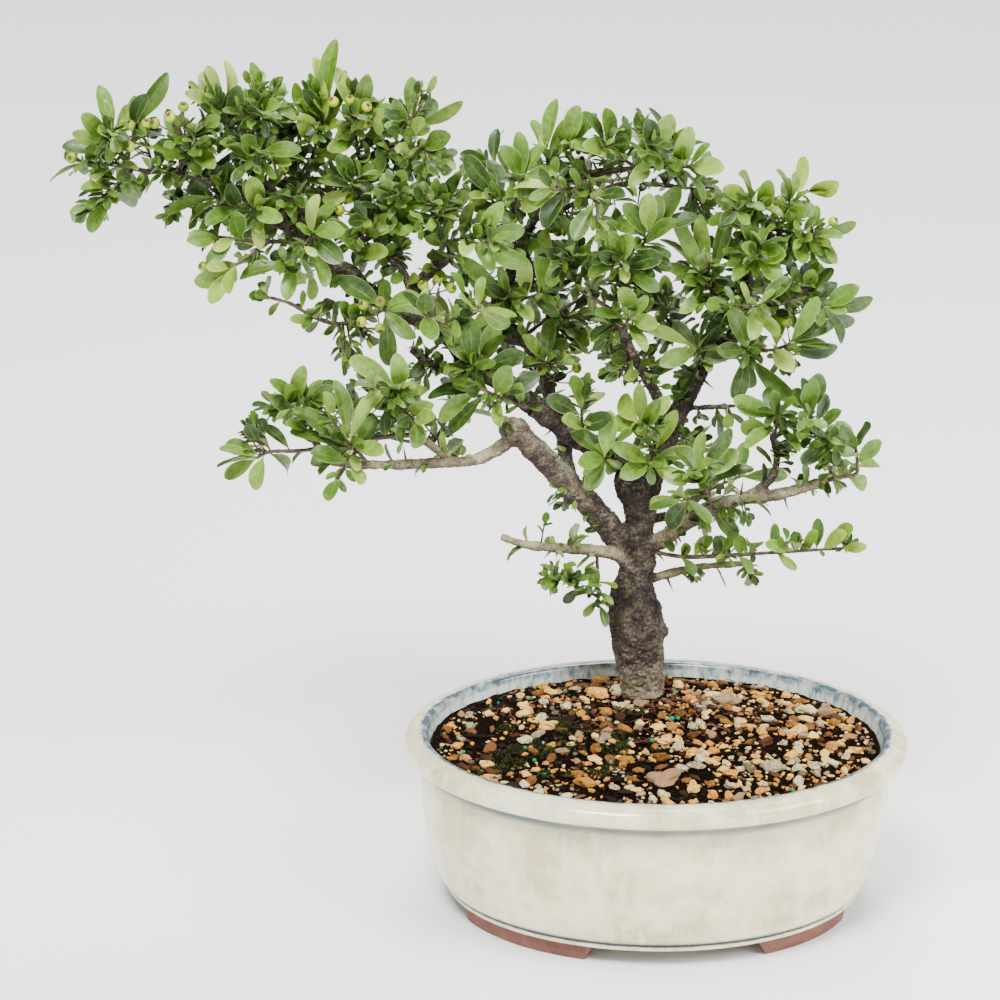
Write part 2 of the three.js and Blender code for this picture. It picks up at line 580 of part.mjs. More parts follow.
      tips: [[24, -38], [22, -50], [38, -38], [38, -62]] },
  ],
  back_left_branch: [
    { stem: [[32, 56, 21], [26, 68, 38], [8, 92, 50], [-14, 116, 62]], fill: 3, spread: 26 },
    { stem: [[16, 81, 43], [42, 112, 60]], fill: 3 },
    { stem: [[0, 100, 54], [-38, 108, 82]], fill: 3 },
  ],
  back_far_left_branch: [
    { stem: [[-93, 136, 3], [-106, 148, 24], [-124, 160, 44], [-146, 168, 58]], fill: 3, spread: 26 },
    { stem: [[-114, 153, 33], [-98, 188, 52]], fill: 3 },
    { stem: [[-124, 160, 44], [-120, 148, 62], [-114, 136, 70]], fill: 3 },
  ],
  back_crown_branch: [
    { stem: [[27, 181, 4], [26, 184, 30], [36, 188, 52], [52, 192, 66]], fill: 3, spread: 26 },
    { stem: [[26, 185, 34], [-6, 202, 54]], fill: 3 },
    { stem: [[44, 190, 59], [70, 192, 56], [88, 198, 50]], fill: 3 },
  ],
  back_middle_branch: [
    { stem: [[12, 97, 22], [30, 110, 44], [50, 122, 60], [66, 134, 74]], fill: 3, spread: 26 },
    { stem: [[30, 110, 44], [12, 148, 62]], fill: 3 },
    { stem: [[50, 122, 60], [76, 100, 90]], fill: 3 },
  ],
  back_right_branch: [
    { stem: [[118, 68, 16], [126, 84, 40], [136, 106, 58], [150, 126, 70]], fill: 3, spread: 26 },
    { stem: [[126, 84, 40], [108, 98, 58], [98, 112, 66]], fill: 3 },
    { stem: [[136, 106, 58], [164, 108, 54], [182, 114, 48]], fill: 3 },
  ],
  back_low_right_branch: [
    { stem: [[112, -6, 18], [126, 6, 38], [144, 14, 52]], fill: 3 },
    { stem: [[122, 4, 33], [114, 34, 52]], fill: 3 },
  ],
  back_low_left_branch: [
    { stem: [[-24, 25, -26], [-38, 32, 0], [-60, 36, 20], [-84, 42, 32]], fill: 3, spread: 26 },
    { stem: [[-40, 33, 4], [-26, 58, 22]], fill: 3 },
  ],
  front_crown_branch: [
    { stem: [[54, 192, -3], [58, 176, -46]], fill: 3 },
    { stem: [[55, 187, -18], [32, 186, -44]], fill: 3 },
  ],
  front_left_branch: [
    { stem: [[-37, 101, -9], [-38, 106, -36], [-46, 112, -56]], fill: 3 },
    { stem: [[-37, 104, -24], [-12, 116, -50]], fill: 3 },
  ],
};
const YOUNG = [
  "upright_pale_spray", "bright_spray", "left_pale_spray", "right_upper_spray", "low_right_shoot",
];

// Berry bunches: where the stalk leaves the wood, its hub, and the berries, as [across, up, back].
const BUNCHES = {
  far_left_berries: { root: [-207, 197, -5], hub: [-211, 210, -18],
    berries: [[-222, 225], [-212, 226], [-230, 219], [-222, 212]] },
  left_top_berries: { root: [-187, 211, -10], hub: [-190, 219, -20],
    berries: [[-207, 226], [-198, 230], [-190, 236]] },
  bough_end_berries: { root: [-141, 192, 2], hub: [-139, 199, -10],
    berries: [[-135, 212], [-146, 200], [-130, 199]] },
  crown_berries: { root: [-87, 221, 6], hub: [-90, 227, -6],
    berries: [[-100, 239], [-90, 240], [-80, 236], [-80, 226]] },
  middle_berries: { root: [-78, 170, 6], hub: [-81, 172, -8],
    berries: [[-96, 174], [-90, 181], [-88, 167], [-70, 186], [-67, 176]] },
  fork_berries: { root: [-50, 127, -10], hub: [-43, 122, -22],
    berries: [[-46, 129], [-37, 133], [-29, 127]] },
  low_bough_berries: { root: [-69, 114, -21], hub: [-75, 111, -33],
    berries: [[-82, 117], [-83, 107], [-72, 103], [-72, 119]] },
  centre_berries: { root: [26, 70, 23], hub: [33, 73, 8],
    berries: [[32, 84], [40, 87], [25, 78], [46, 79], [44, 70]] },
};

// The point of a route that lies a given way back from its end.
function pointFromEnd(route, way) {
  let left = way;
  for (let i = route.length - 1; i > 0; i--) {
    const step = route[i].at.distanceTo(route[i - 1].at);
    if (left <= step || i === 1) {
      const along = route[i].at.clone().sub(route[i - 1].at).normalize();
      return { at: route[i].at.clone().addScaledVector(along, -Math.min(left, step)), along };
    }
    left -= step;
  }
  return null;
}

// The nearest point on the middle line of any of these routes.
function nearestOn(routes, point) {
  const spots = routes.flatMap((route) =>
    route.slice(1).map((end, i) => {
      const stretch = new THREE.Line3(route[i].at, end.at);
      return stretch.closestPointToPoint(point, true, new THREE.Vector3());
    }),
  );
  return spots.reduce((a, b) => (b.distanceTo(point) < a.distanceTo(point) ? b : a));
}

// The first shoot of a spray grows from the wood, and the others from the shoots before them.
function shootRoutes(shoots, woodRoutes) {
  const routes = [];
  for (const { stem: points } of shoots) {
    const last = points.length - 1;
    const thick = STEM_TIP + STEM_SWELL * last;
    const route = points.map((point, i) => ({
      at: place(...point),
      radius: thick + ((STEM_TIP - thick) * i) / last,
    }));
    route[0].at = nearestOn(routes.length ? routes : woodRoutes, route[0].at);
    routes.push(route);
  }
  return routes;
}

// Where a leaf with a given tip leaves its shoot: about one leaf's length off, and pointing forward.
function leafBase(route, spread, tip, length, taken) {
  let best = null;
  for (let way = 1; way <= spread; way += BASE_STEP) {
    const crowd = taken.filter((other) => Math.abs(other - way) < 0.5 * BASE_STEP).length;
    const spot = pointFromEnd(route, way);
    const reach = place(tip[0], tip[1], spot.at.y - TRUNK_Y).sub(spot.at);
    const off = Math.max(0, reach.length() - length);
    const astray = FORWARD_PULL * (1 - reach.normalize().dot(spot.along));
    const cost = off + astray + END_PULL * way + CROWDING * crowd;
    if (!best || cost < best.cost) best = { ...spot, cost, way };
  }
  return best;
}

function upperSide(direction, wanted, turn) {
  const normal = wanted.addScaledVector(direction, -wanted.dot(direction)).normalize();
  return normal.applyAxisAngle(direction, turn);
}

// A leaf whose tip is given: it leans to or from the viewer by as much as its length is foreshortened.
function seenLeaf(route, shoot, tip, taken, keys, attempt) {
  const length = (LEAF_LENGTH + LEAF_LENGTH_SPREAD * draw(...keys, 1)) * shoot.size;
  const base = leafBase(route, shoot.spread, tip, length, taken);
  const shift = SHIFT_STEP * attempt;
  const across = tip[0] + shift * (draw(...keys, attempt, 2) - 0.5);
  const up = tip[1] + shift * (draw(...keys, attempt, 3) - 0.5);
  const back = base.at.y - TRUNK_Y;
  const flat = place(across, up, back).distanceTo(base.at);
  const lean = Math.sqrt(Math.max(0, length * length - flat * flat)) * (1 - 0.03 * attempt);
  const forward = draw(...keys, attempt, 4) < 0.75 ? -1 : 1;
  const end = place(across, up, back + forward * lean);
  const direction = end.clone().sub(base.at);
  const reach = direction.length();
  direction.normalize();
  const toEye = EYE.clone().sub(base.at).normalize();
  toEye.z += LIGHTWARD;
  const turned = tip[2] ?? 70 * (draw(...keys, 5) - 0.5);
  const strayed = TURN_STEP * attempt * (draw(...keys, attempt, 6) - 0.5);
  const normal = upperSide(direction, toEye, THREE.MathUtils.degToRad(turned + strayed));
  return { at: base.at, direction, normal, length: reach, way: base.way, keys };
}

// A leaf by rule: each stands a golden turn further round the stem than the last.
function ruleLeaf(route, shoot, index, keys, attempt) {
  const grown = LEAF_LENGTH - 2 + LEAF_LENGTH_SPREAD * draw(...keys, 1);
  const length = grown * shoot.size * (1 - 0.02 * attempt);
  const way = 1 + ((index + 0.5) / shoot.fill) * shoot.spread;
  const base = pointFromEnd(route, way);
  const side = new THREE.Vector3(0.3, 0.2, 1).cross(base.along).normalize();
  const round = GOLDEN_TURN * index + 2 * Math.PI * draw(...keys, 2) + 0.7 * attempt;
  side.applyAxisAngle(base.along, round);
  const open = 0.75 + 0.5 * draw(...keys, attempt, 3);
  const direction = base.along.clone().multiplyScalar(Math.cos(open));
  direction.addScaledVector(side, Math.sin(open)).normalize();
  const wanted = base.along.clone().multiplyScalar(0.6);
  wanted.z += 0.8;
  const turn = 0.8 * (draw(...keys, attempt, 4) - 0.5);
  return { at: base.at, direction, normal: upperSide(direction, wanted, turn), length, way, keys };
}

// A blade: narrow at its neck, folded along its midrib, widest past the middle and round-tipped, with
// both faces split into the same triangles. Extra is the room kept round it.
function blade(leaf, extra = 0) {
  const { at, direction, normal, length, keys } = leaf;
  const side = new THREE.Vector3().crossVectors(direction, normal);
  const breadth = Math.min(LEAF_BREADTH, length * SLIMMEST) * (0.86 + 0.28 * draw(...keys, 7));
  const half = breadth / 2 + extra;
  const lift = 0.3 + length * (0.02 + 0.07 * draw(...keys, 8));
  const spot = (x, along, z) => {
    const out = at.clone().addScaledVector(direction, along * (length + extra));
    return out.addScaledVector(side, x).addScaledVector(normal, z);
  };
  const points = [
    spot(half, WIDEST_ALONG, lift),
    spot(half * END_SHARE, END_ALONG, 0),
    spot(-half * END_SHARE, 1, 0),
    spot(-half, WIDEST_ALONG, lift),
    spot(0, 0, 0),
    spot(0, MIDRIB_ALONG, MIDRIB_HALF + extra),
    spot(0, MIDRIB_ALONG, -MIDRIB_HALF - extra),
  ];
  const [rightWide, rightEnd, leftEnd, leftWide, neck, top, under] = points.keys();
  const margin = [neck, rightWide, rightEnd, leftEnd, leftWide];
  const faces = margin.flatMap((one, i) => {
    const next = margin[(i + 1) % margin.length];
    return [[one, next, top], [next, one, under]];
  });
  return solid(new THREE.BufferGeometry().setFromPoints(points).setIndex(faces.flat()));
}

// What already stands, so that a new leaf can be tried against it.
const standing = [];

function stand(node, whole) {
  standing.push({ node, whole, box: whole.boundingBox() });
}

function boxesMeet(a, b) {
  return [0, 1, 2].every((i) => a.min[i] <= b.max[i] && b.min[i] <= a.max[i]);
}

// The outer part of a leaf, past the crowd of necks at its shoot's end.
function outerPart(leaf, skip) {
  const at = leaf.at.clone().addScaledVector(leaf.direction, leaf.length * skip);
  return { ...leaf, at, length: leaf.length * (1 - skip) };
}

function isClear(leaf, node, skip) {
  const whole = blade(leaf, GAP + 0.1);
  const outer = blade(outerPart(leaf, skip), GAP);
  const box = whole.boundingBox();
  return standing.every((other) => {
    if (!boxesMeet(box, other.box)) return true;
    return (other.node === node ? outer : whole).intersect(other.whole).isEmpty();
  });
}

// The first of a leaf's tries that stands clear of all the rest joins the standing ones.
function settle(node, taken, attemptLeaf) {
  for (let attempt = 0; attempt < TRIES; attempt++) {
    const leaf = attemptLeaf(attempt);
    if (!isClear(leaf, node, FIRST_SKIP + MORE_SKIP * attempt)) continue;
    taken.push(leaf.way);
    stand(node, blade(leaf));
    return;
  }
}

function berryCentre(bunch, [across, up], keys) {
  return place(across, up, bunch.hub[2] - 5 + 6 * draw(...keys));
}

function makeBunch(bunch, index, routes) {
  const root = nearestOn(routes, place(...bunch.root));
  const hub = place(...bunch.hub);
  const peduncle = stem([{ at: root, radius: 1 }, { at: hub, radius: 0.8 }], 4);
  const parts = bunch.berries.flatMap((berry, i) => {
    const from = root.clone().lerp(hub, 0.94 - 0.09 * i);
    const centre = berryCentre(bunch, berry, [900 + index, i]);
    const stalk = stem([{ at: from, radius: STALK_RADIUS }, { at: centre, radius: STALK_RADIUS }], 3);
    const ball = new THREE.IcosahedronGeometry(BERRY_RADIUS, 0);
    return [stalk, solid(ball.translate(centre.x, centre.y, centre.z))];
  });
  return joined([peduncle, ...parts]);
}

// The larger stones on the soil: x, y and half the length of each.
const STONES = [
  [-32, 66, 9], [-20, 72, 7], [48, 56, 9.5], [2, -62, 11], [-64, 16, 7], [88, 10, 7], [66, -44, 8],
  [-44, -66, 7], [96, 40, 7],
];

// Soil: the shape of the pot's inside, with a gravelled top.
function makeSoil(trunkHole) {
  const held = INNER_WALL.filter(([, height]) => height < SOIL_EDGE_Z);
  const wall = held.map(([radius, height]) => [radius - GAP, height + GAP]);
  const edge = SOIL_EDGE - GAP;
  const top = [];
  for (let ring = 0; ring < SOIL_RINGS; ring++) {
    const share = 1 - ring / SOIL_RINGS;
    top.push([edge * share, SOIL_CROWN_Z - (SOIL_CROWN_Z - SOIL_EDGE_Z) * share * share]);
  }
  const geometry = oval([[0, FLOOR_Z + GAP], ...wall.reverse(), ...top, [0, SOIL_CROWN_Z]]);
  const places = geometry.attributes.position;
  for (let i = 0; i < places.count; i++) {
    const [x, y, z] = [places.getX(i), places.getY(i), places.getZ(i)];
    const inside = Math.hypot(x / (edge + OVAL), y / edge) < 0.96;
    if (z > SOIL_EDGE_Z && inside) {
      places.setZ(i, z + GRAVEL_RELIEF * (draw(Math.round(x * 10), Math.round(y * 10)) - 0.4));
    }
  }
  const pockets = [-DRAIN_X, DRAIN_X].map((x) => {
    const half = SCREEN_SIZE / 2 + GAP;
    return block([x - half, -half, FLOOR_Z - 1], [x + half, half, FLOOR_Z + SCREEN_THICK + 2 * GAP]);
  });
  const stones = STONES.map(([x, y, size], i) => {
    const stone = new THREE.IcosahedronGeometry(size, 0).scale(1, 0.8, 0.55);
    stone.rotateZ(2 * Math.PI * draw(700, i));
    return solid(stone.translate(x, y, SOIL_CROWN_Z - 1));
  });
  const whole = joined([solid(geometry), ...stones]);
  return [...pockets, trunkHole].reduce((soil, hollow) => soil.subtract(hollow), whole);
}

const trunkHole = stem(routeOf(LIMBS.trunk.slice(0, 4)), limbSides(LIMBS.trunk), GAP + 0.1);
addPiece("pot", makePot(), celadonGlaze);
addPiece("drain_screen_left", makeScreen(-DRAIN_X), greenPlasticMesh);
addPiece("drain_screen_right", makeScreen(DRAIN_X), greenPlasticMesh);
addPiece("soil", makeSoil(trunkHole), barkSoil);

const limbs = makeWood(0);
limbs.forEach((limb) => stand("wood", limb));
addPiece("wood", joined(limbs), firethornBark);

const woodRoom = joined(makeWood(GAP));
const woodRoutes = Object.values(LIMBS).map((points) => routeOf(points));
const stems = Object.entries(SPRAYS).map(([name, rows]) => {
  const shoots = rows.map((row) => ({ ...PLAIN_SHOOT, ...row }));
  const routes = shootRoutes(shoots, woodRoutes);
  routes.forEach((route) => stand(name, stem(route, STEM_SIDES)));
  const room = joined(routes.map((route) => stem(route, STEM_SIDES, GAP)));
  return { name, shoots, routes, room };
});

const allRoutes = [...woodRoutes, ...stems.flatMap(({ routes }) => routes)];
Object.entries(BUNCHES).forEach(([name, bunch], index) => {
  let whole = makeBunch(bunch, index, allRoutes).subtract(woodRoom);
  stems.forEach(({ room }) => (whole = whole.subtract(room)));
  whole = largestBody(whole);
  stand(name, whole);
  addPiece(name, whole, greenBerry);
});

stems.forEach(({ name, shoots, routes }, number) => {
  shoots.forEach((shoot, s) => {
    const taken = [];
    const route = routes[s];
    shoot.tips.forEach((tip, i) => {
      const keys = [number, s, i];
      settle(name, taken, (attempt) => seenLeaf(route, shoot, tip, taken, keys, attempt));
    });
    for (let i = 0; i < shoot.fill; i++) {
      const keys = [number, s, RULE_KEY + i];
      settle(name, taken, (attempt) => ruleLeaf(route, shoot, i, keys, attempt));
    }
  });
  const grown = standing.filter((one) => one.node === name).map((one) => one.whole);
  let spray = joined(grown).subtract(woodRoom);
  stems.slice(0, number).forEach((earlier) => (spray = spray.subtract(earlier.room)));
  addPiece(name, largestBody(spray), YOUNG.includes(name) ? youngLeaf : matureLeaf);
});

// The part's origin is on the ground under the middle of its box.
const box = new THREE.Box3().setFromObject(group);
const middle = box.getCenter(new THREE.Vector3());
group.position.set(-middle.x, -middle.y, -box.min.z);

export default group;
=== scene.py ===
"""Firethorn bonsai in its oval glazed pot: its looks, built round the packed part.

Lengths are millimetres from the middle of the pot's foot, until a mesh is made in metres.
"""

import math
from itertools import product
from typing import NamedTuple

import bmesh
import bpy
import numpy as np
from mathutils import Matrix, Quaternion, Vector, noise
from mathutils.kdtree import KDTree


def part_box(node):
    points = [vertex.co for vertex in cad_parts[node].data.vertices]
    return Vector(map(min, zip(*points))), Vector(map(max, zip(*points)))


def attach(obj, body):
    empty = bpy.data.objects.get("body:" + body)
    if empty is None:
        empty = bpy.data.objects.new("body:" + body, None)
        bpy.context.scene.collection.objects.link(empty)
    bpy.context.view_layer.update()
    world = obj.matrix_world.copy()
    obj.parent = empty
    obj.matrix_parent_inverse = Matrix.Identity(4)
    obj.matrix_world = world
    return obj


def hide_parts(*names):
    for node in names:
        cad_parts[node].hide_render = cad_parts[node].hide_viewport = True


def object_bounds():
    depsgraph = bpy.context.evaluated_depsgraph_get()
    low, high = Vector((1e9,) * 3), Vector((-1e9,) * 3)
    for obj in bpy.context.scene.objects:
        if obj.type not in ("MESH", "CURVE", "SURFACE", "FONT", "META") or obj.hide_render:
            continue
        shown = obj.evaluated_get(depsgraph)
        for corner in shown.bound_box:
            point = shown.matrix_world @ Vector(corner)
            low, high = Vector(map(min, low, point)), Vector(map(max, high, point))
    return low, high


bl_info = {
    "name": "Firethorn bonsai",
    "version": (1, 0, 0),
    "blender": (4, 5, 0),
    "location": "View3D > Sidebar > Bonsai",
    "description": "Builds the pot, the soil, the wood, the leaves and the berries",
    "category": "Object",
}

MM = 0.001
FULL_TURN = 2 * math.pi

# The packed part, its own box in metres, and the middle of the pot in its frame.
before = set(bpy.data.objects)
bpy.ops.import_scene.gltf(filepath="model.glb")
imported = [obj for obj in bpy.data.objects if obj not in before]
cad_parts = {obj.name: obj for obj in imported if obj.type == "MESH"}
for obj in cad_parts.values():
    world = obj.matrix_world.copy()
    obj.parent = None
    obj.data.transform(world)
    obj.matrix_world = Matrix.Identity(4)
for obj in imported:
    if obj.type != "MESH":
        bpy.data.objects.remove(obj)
CAD_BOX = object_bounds()
MIDDLE = (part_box("pot")[0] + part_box("pot")[1]) / 2
MIDDLE.z = 0

# The upright picture plane on which the tree is laid out, and the eye that looks at it.
EYE = Vector((-93.5, -1394, 716))
GAZE_DOWN = math.radians(18.28)
PICTURE_AWAY = 1508
PICTURE_WIDTH = 600
SENSOR_WIDTH = 36
TRUNK_Y = 72

# Pot and soil. A foot gap is its middle and half its width.
POT_HALF_WIDTH = 119
OVAL = 32.6
UNDERSIDE_Z = 9
FLOOR_Z = 20
FOOT_OUTER = 89.5
FOOT_BAND = 15
FOOT_TOP = 11
FOOT_SLANT = 5
FRONT_GAP = (9, 49)
END_GAP = (0, 30)
DRAIN_X = 52
DRAIN_RADIUS = 9
DRAIN_MIDDLE_Z = 15
SCREEN_SIZE = 32
SCREEN_Z = 21
STRAND_M = 0.0011
SOIL_FOOT_Z = 22.4
SOIL_GAP = 0.4
SOIL_EDGE = 102.3
SOIL_EDGE_Z = 102.5
SOIL_CROWN_Z = 106
TRUNK_FOOT = (85, -124, 0)

# Leaves, as the part's own rule has them, with a full turn as that rule rounds it.
LEAF_LENGTH = 25
LEAF_LENGTH_SPREAD = 6
LEAF_BREADTH = 12.2
STEM_TIP = 0.95
STEM_SWELL = 0.17
BERRY_RADIUS = 3.2
TRIES = 30
GOLDEN_TURN = 2.39996
BASE_STEP = 2.2
FORWARD_PULL = 6
CROWDING = 12
FOUND_WITHIN = 0.06
WHOLE_TURN = 6.2832

# Stones, fibres and moss: what keeps them apart, in millimetres, and how many steps and patches.
STONE_CELL = 8
STONE_OVERLAP = 0.75
TRUNK_ROOM = 17
FIBRE_STEPS = 8
MOSS_PATCHES = 26

# Leaves that only this script adds: the gaps they keep, how far they reach, and what they cost.
LEAF_GAP = 1.4
PAD_GAP = 1.0
SHOOT_REACH = 70
TWIG_REACH = 40
STALK_REACH = 15
DEAREST_LEAF = 26
THIN_LIMB = 5.5
FINE_ABOVE = 15
RULE_KEYS = 50
NEIGHBOURS = list(product((-1, 0, 1), repeat=3))
CORNERS = list(product((-1, 1), repeat=3))


class Shoot(NamedTuple):
    """A shoot: its stem, the leaf tips that show, and how many leaves stand round it by rule."""

    stem: list
    tips: list = ()
    fill: int = 0
    size: float = 1.0
    spread: float = 15.0


class Bunch(NamedTuple):
    """A berry bunch: where its stalk leaves the wood, its hub, and its berries."""

    root: list
    hub: list
    berries: list


class Leaf(NamedTuple):
    """A leaf: the foot of its stalk, the way it points, its upper side, and its measures."""

    at: Vector
    direction: Vector
    normal: Vector
    length: float
    breadth: float
    lift: float
    way: float
    keys: tuple


# Trunk and limbs: points [across, up, back, radius] on each one's middle line, root first.
LIMBS = {
    "trunk": [
        [85, -158, 0, 11.5], [85, -122, 0, 13.4], [84.6, -109, 0, 12.8], [84.2, -96, 0, 13.8],
        [83.2, -86, 0, 15.4], [82.4, -76, 0, 16.4], [80.8, -65, 0, 15.4], [80, -55, 0, 12.9],
        [81.6, -44, 0, 10.6], [83, -34, 0, 9.6], [82, -24, 0, 10], [84, -12, 0, 8.8],
        [84, 0, 0, 9.6], [83, 7, -1, 13.6], [83, 14, -1, 12.8], [83, 19, -1, 8],
    ],
    "trunk_nub": [[90, -78, -3, 4.6], [100.5, -79.5, -5, 2.6]],
    "cut_knob": [[83, 9, 2, 9.5], [82.5, 8.5, -9, 9.8], [82, 8, -14.5, 7.4]],
    "lower_left": [
        [80, -36, 0, 7.5], [72, -24, -1, 8], [45, 6, -6, 7.3], [18, 33, -14, 7], [9, 41, -18, 8],
        [3, 46, -20, 5],
    ],
    "lower_left_arm": [
        [8, 37, -18, 4.4], [-6, 28, -22, 3.7], [-24, 23, -28, 3.1], [-80, 21, -40, 2.4],
        [-104, 23, -44, 1.5],
    ],
    "lower_left_fork": [[-28, 23, -29, 2.4], [-52, 41, -38, 2], [-60, 53, -42, 1.5]],
    "rear_limb": [
        [44, 8, -4, 5.2], [40, 21, 8, 4.5], [38, 38, 16, 4.3], [31, 58, 22, 4.1], [26, 76, 24, 4],
        [17, 93, 22, 4], [3, 101, 18, 4.8], [-1, 114, 14, 3.7], [-4, 128, 10, 3.7],
        [-18, 140, 4, 3.2],
    ],
    "upper_left": [
        [84, 12, 8, 7.5], [72, 24, 10, 7.1], [45, 39, 5, 6.7], [7, 67, -4, 6.4], [-18, 84, -8, 5.6],
        [-36, 102, -8, 5.2], [-74, 121, -4, 4.8], [-90, 136, 0, 4.8], [-103, 142, 2, 4.9],
        [-124, 164, 4, 4.6], [-140, 190, 2, 2.6],
    ],
    "far_left": [
        [-135, 181, 3, 2.8], [-161, 187, 0, 2.5], [-194, 197, -4, 2.1], [-214, 197, -6, 1.8],
    ],
    "left_middle_arm": [
        [-120, 160, 4, 3], [-147, 171, 8, 2.3], [-160, 171, 10, 2.1], [-193, 178, 16, 1.2],
    ],
    "bough_stub": [[-117, 158, 0, 3.8], [-121, 180, -6, 3]],
    "fork": [[-53, 112, -6, 3.8], [-51, 126, -10, 3.6], [-42, 137, -12, 3.3], [-28, 148, -14, 2.6]],
    "fork_arm": [
        [-52, 124, -9, 2.6], [-60, 140, -5, 2.4], [-71, 150, 0, 2.1], [-78, 171, 6, 1.8],
        [-84, 197, 8, 1.4],
    ],
    "cut_stub": [[-14, 78, -8, 3], [-31, 78, -10, 2.8], [-45, 84, -14, 2.8], [-52, 91, -16, 3]],
    "right_main": [
        [86, 4, 4, 6.6], [96, 24, 12, 6.4], [103, 44, 14, 6.2], [124, 83, 12, 4.2],
        [141, 102, 10, 4], [150, 134, 6, 2.6],
    ],
    "right_stub": [[141, 100, 10, 3.6], [167, 121, 4, 4], [186, 127, 4, 3.4]],
    "right_twig": [[113, 55, 14, 1.7], [150, 57, 4, 1.1]],
    "centre": [
        [90, 12, 6, 4.4], [95, 36, 4, 3.6], [96, 57, 2, 3.3], [82, 83, -2, 3], [66, 115, -5, 2.6],
    ],
    "crown_bough": [
        [-1, 112, 14, 3.2], [12, 150, 8, 2.8], [22, 172, 4, 2.6], [34, 190, 0, 2.5],
        [74, 199, -4, 2],
    ],
    "crown_rear_bough": [
        [23, 170, 6, 2.2], [37, 174, 10, 1.9], [56, 184, 12, 1.7], [79, 190, 14, 1.5],
        [115, 187, 16, 1.1],
    ],
    "lower_right": [
        [84, -32, -2, 5.4], [130, -4, -18, 3.9], [169, 4, -28, 3.3], [197, 12, -34, 2.1],
    ],
    "lower_right_riser": [
        [146, 0, -22, 2.8], [162, 12, -24, 2.5], [166, 26, -24, 2.1], [163, 40, -22, 1.6],
    ],
    "lower_right_rear": [[88, -12, 4, 3], [116, -6, 18, 2.3], [134, 2, 26, 1.6]],
    "right_dead_stub": [[84, -49, 0, 3.2], [115, -41, 4, 2.2], [147, -38, 6, 1.5]],
    "left_dead_stub": [
        [78, -38, -4, 4.4], [62, -31, -10, 3.5], [18, -27, -18, 2.5], [1, -22, -20, 1.9],
    ],
}

# Thorns: root and point of each, as [across, up, back].
THORNS = [
    [[-56, 21, -35], [-58, 33, -38]],
    [[120, 74, 13], [129, 66, 4]],
    [[144, -1, -21], [146, 13, -30]],
    [[100, -46, 2], [104, -55, -6]],
    [[-98, 139, 1], [-104, 129, -8]],
    [[36, 46, 3], [26, 38, -6]],
    [[91, 70, 0], [81, 66, -9]],
    [[-20, 85, -8], [-14, 97, -16]],
    [[170, 4, -28], [173, -7, -34]],
    [[-168, 190, -1], [-172, 180, -9]],
]

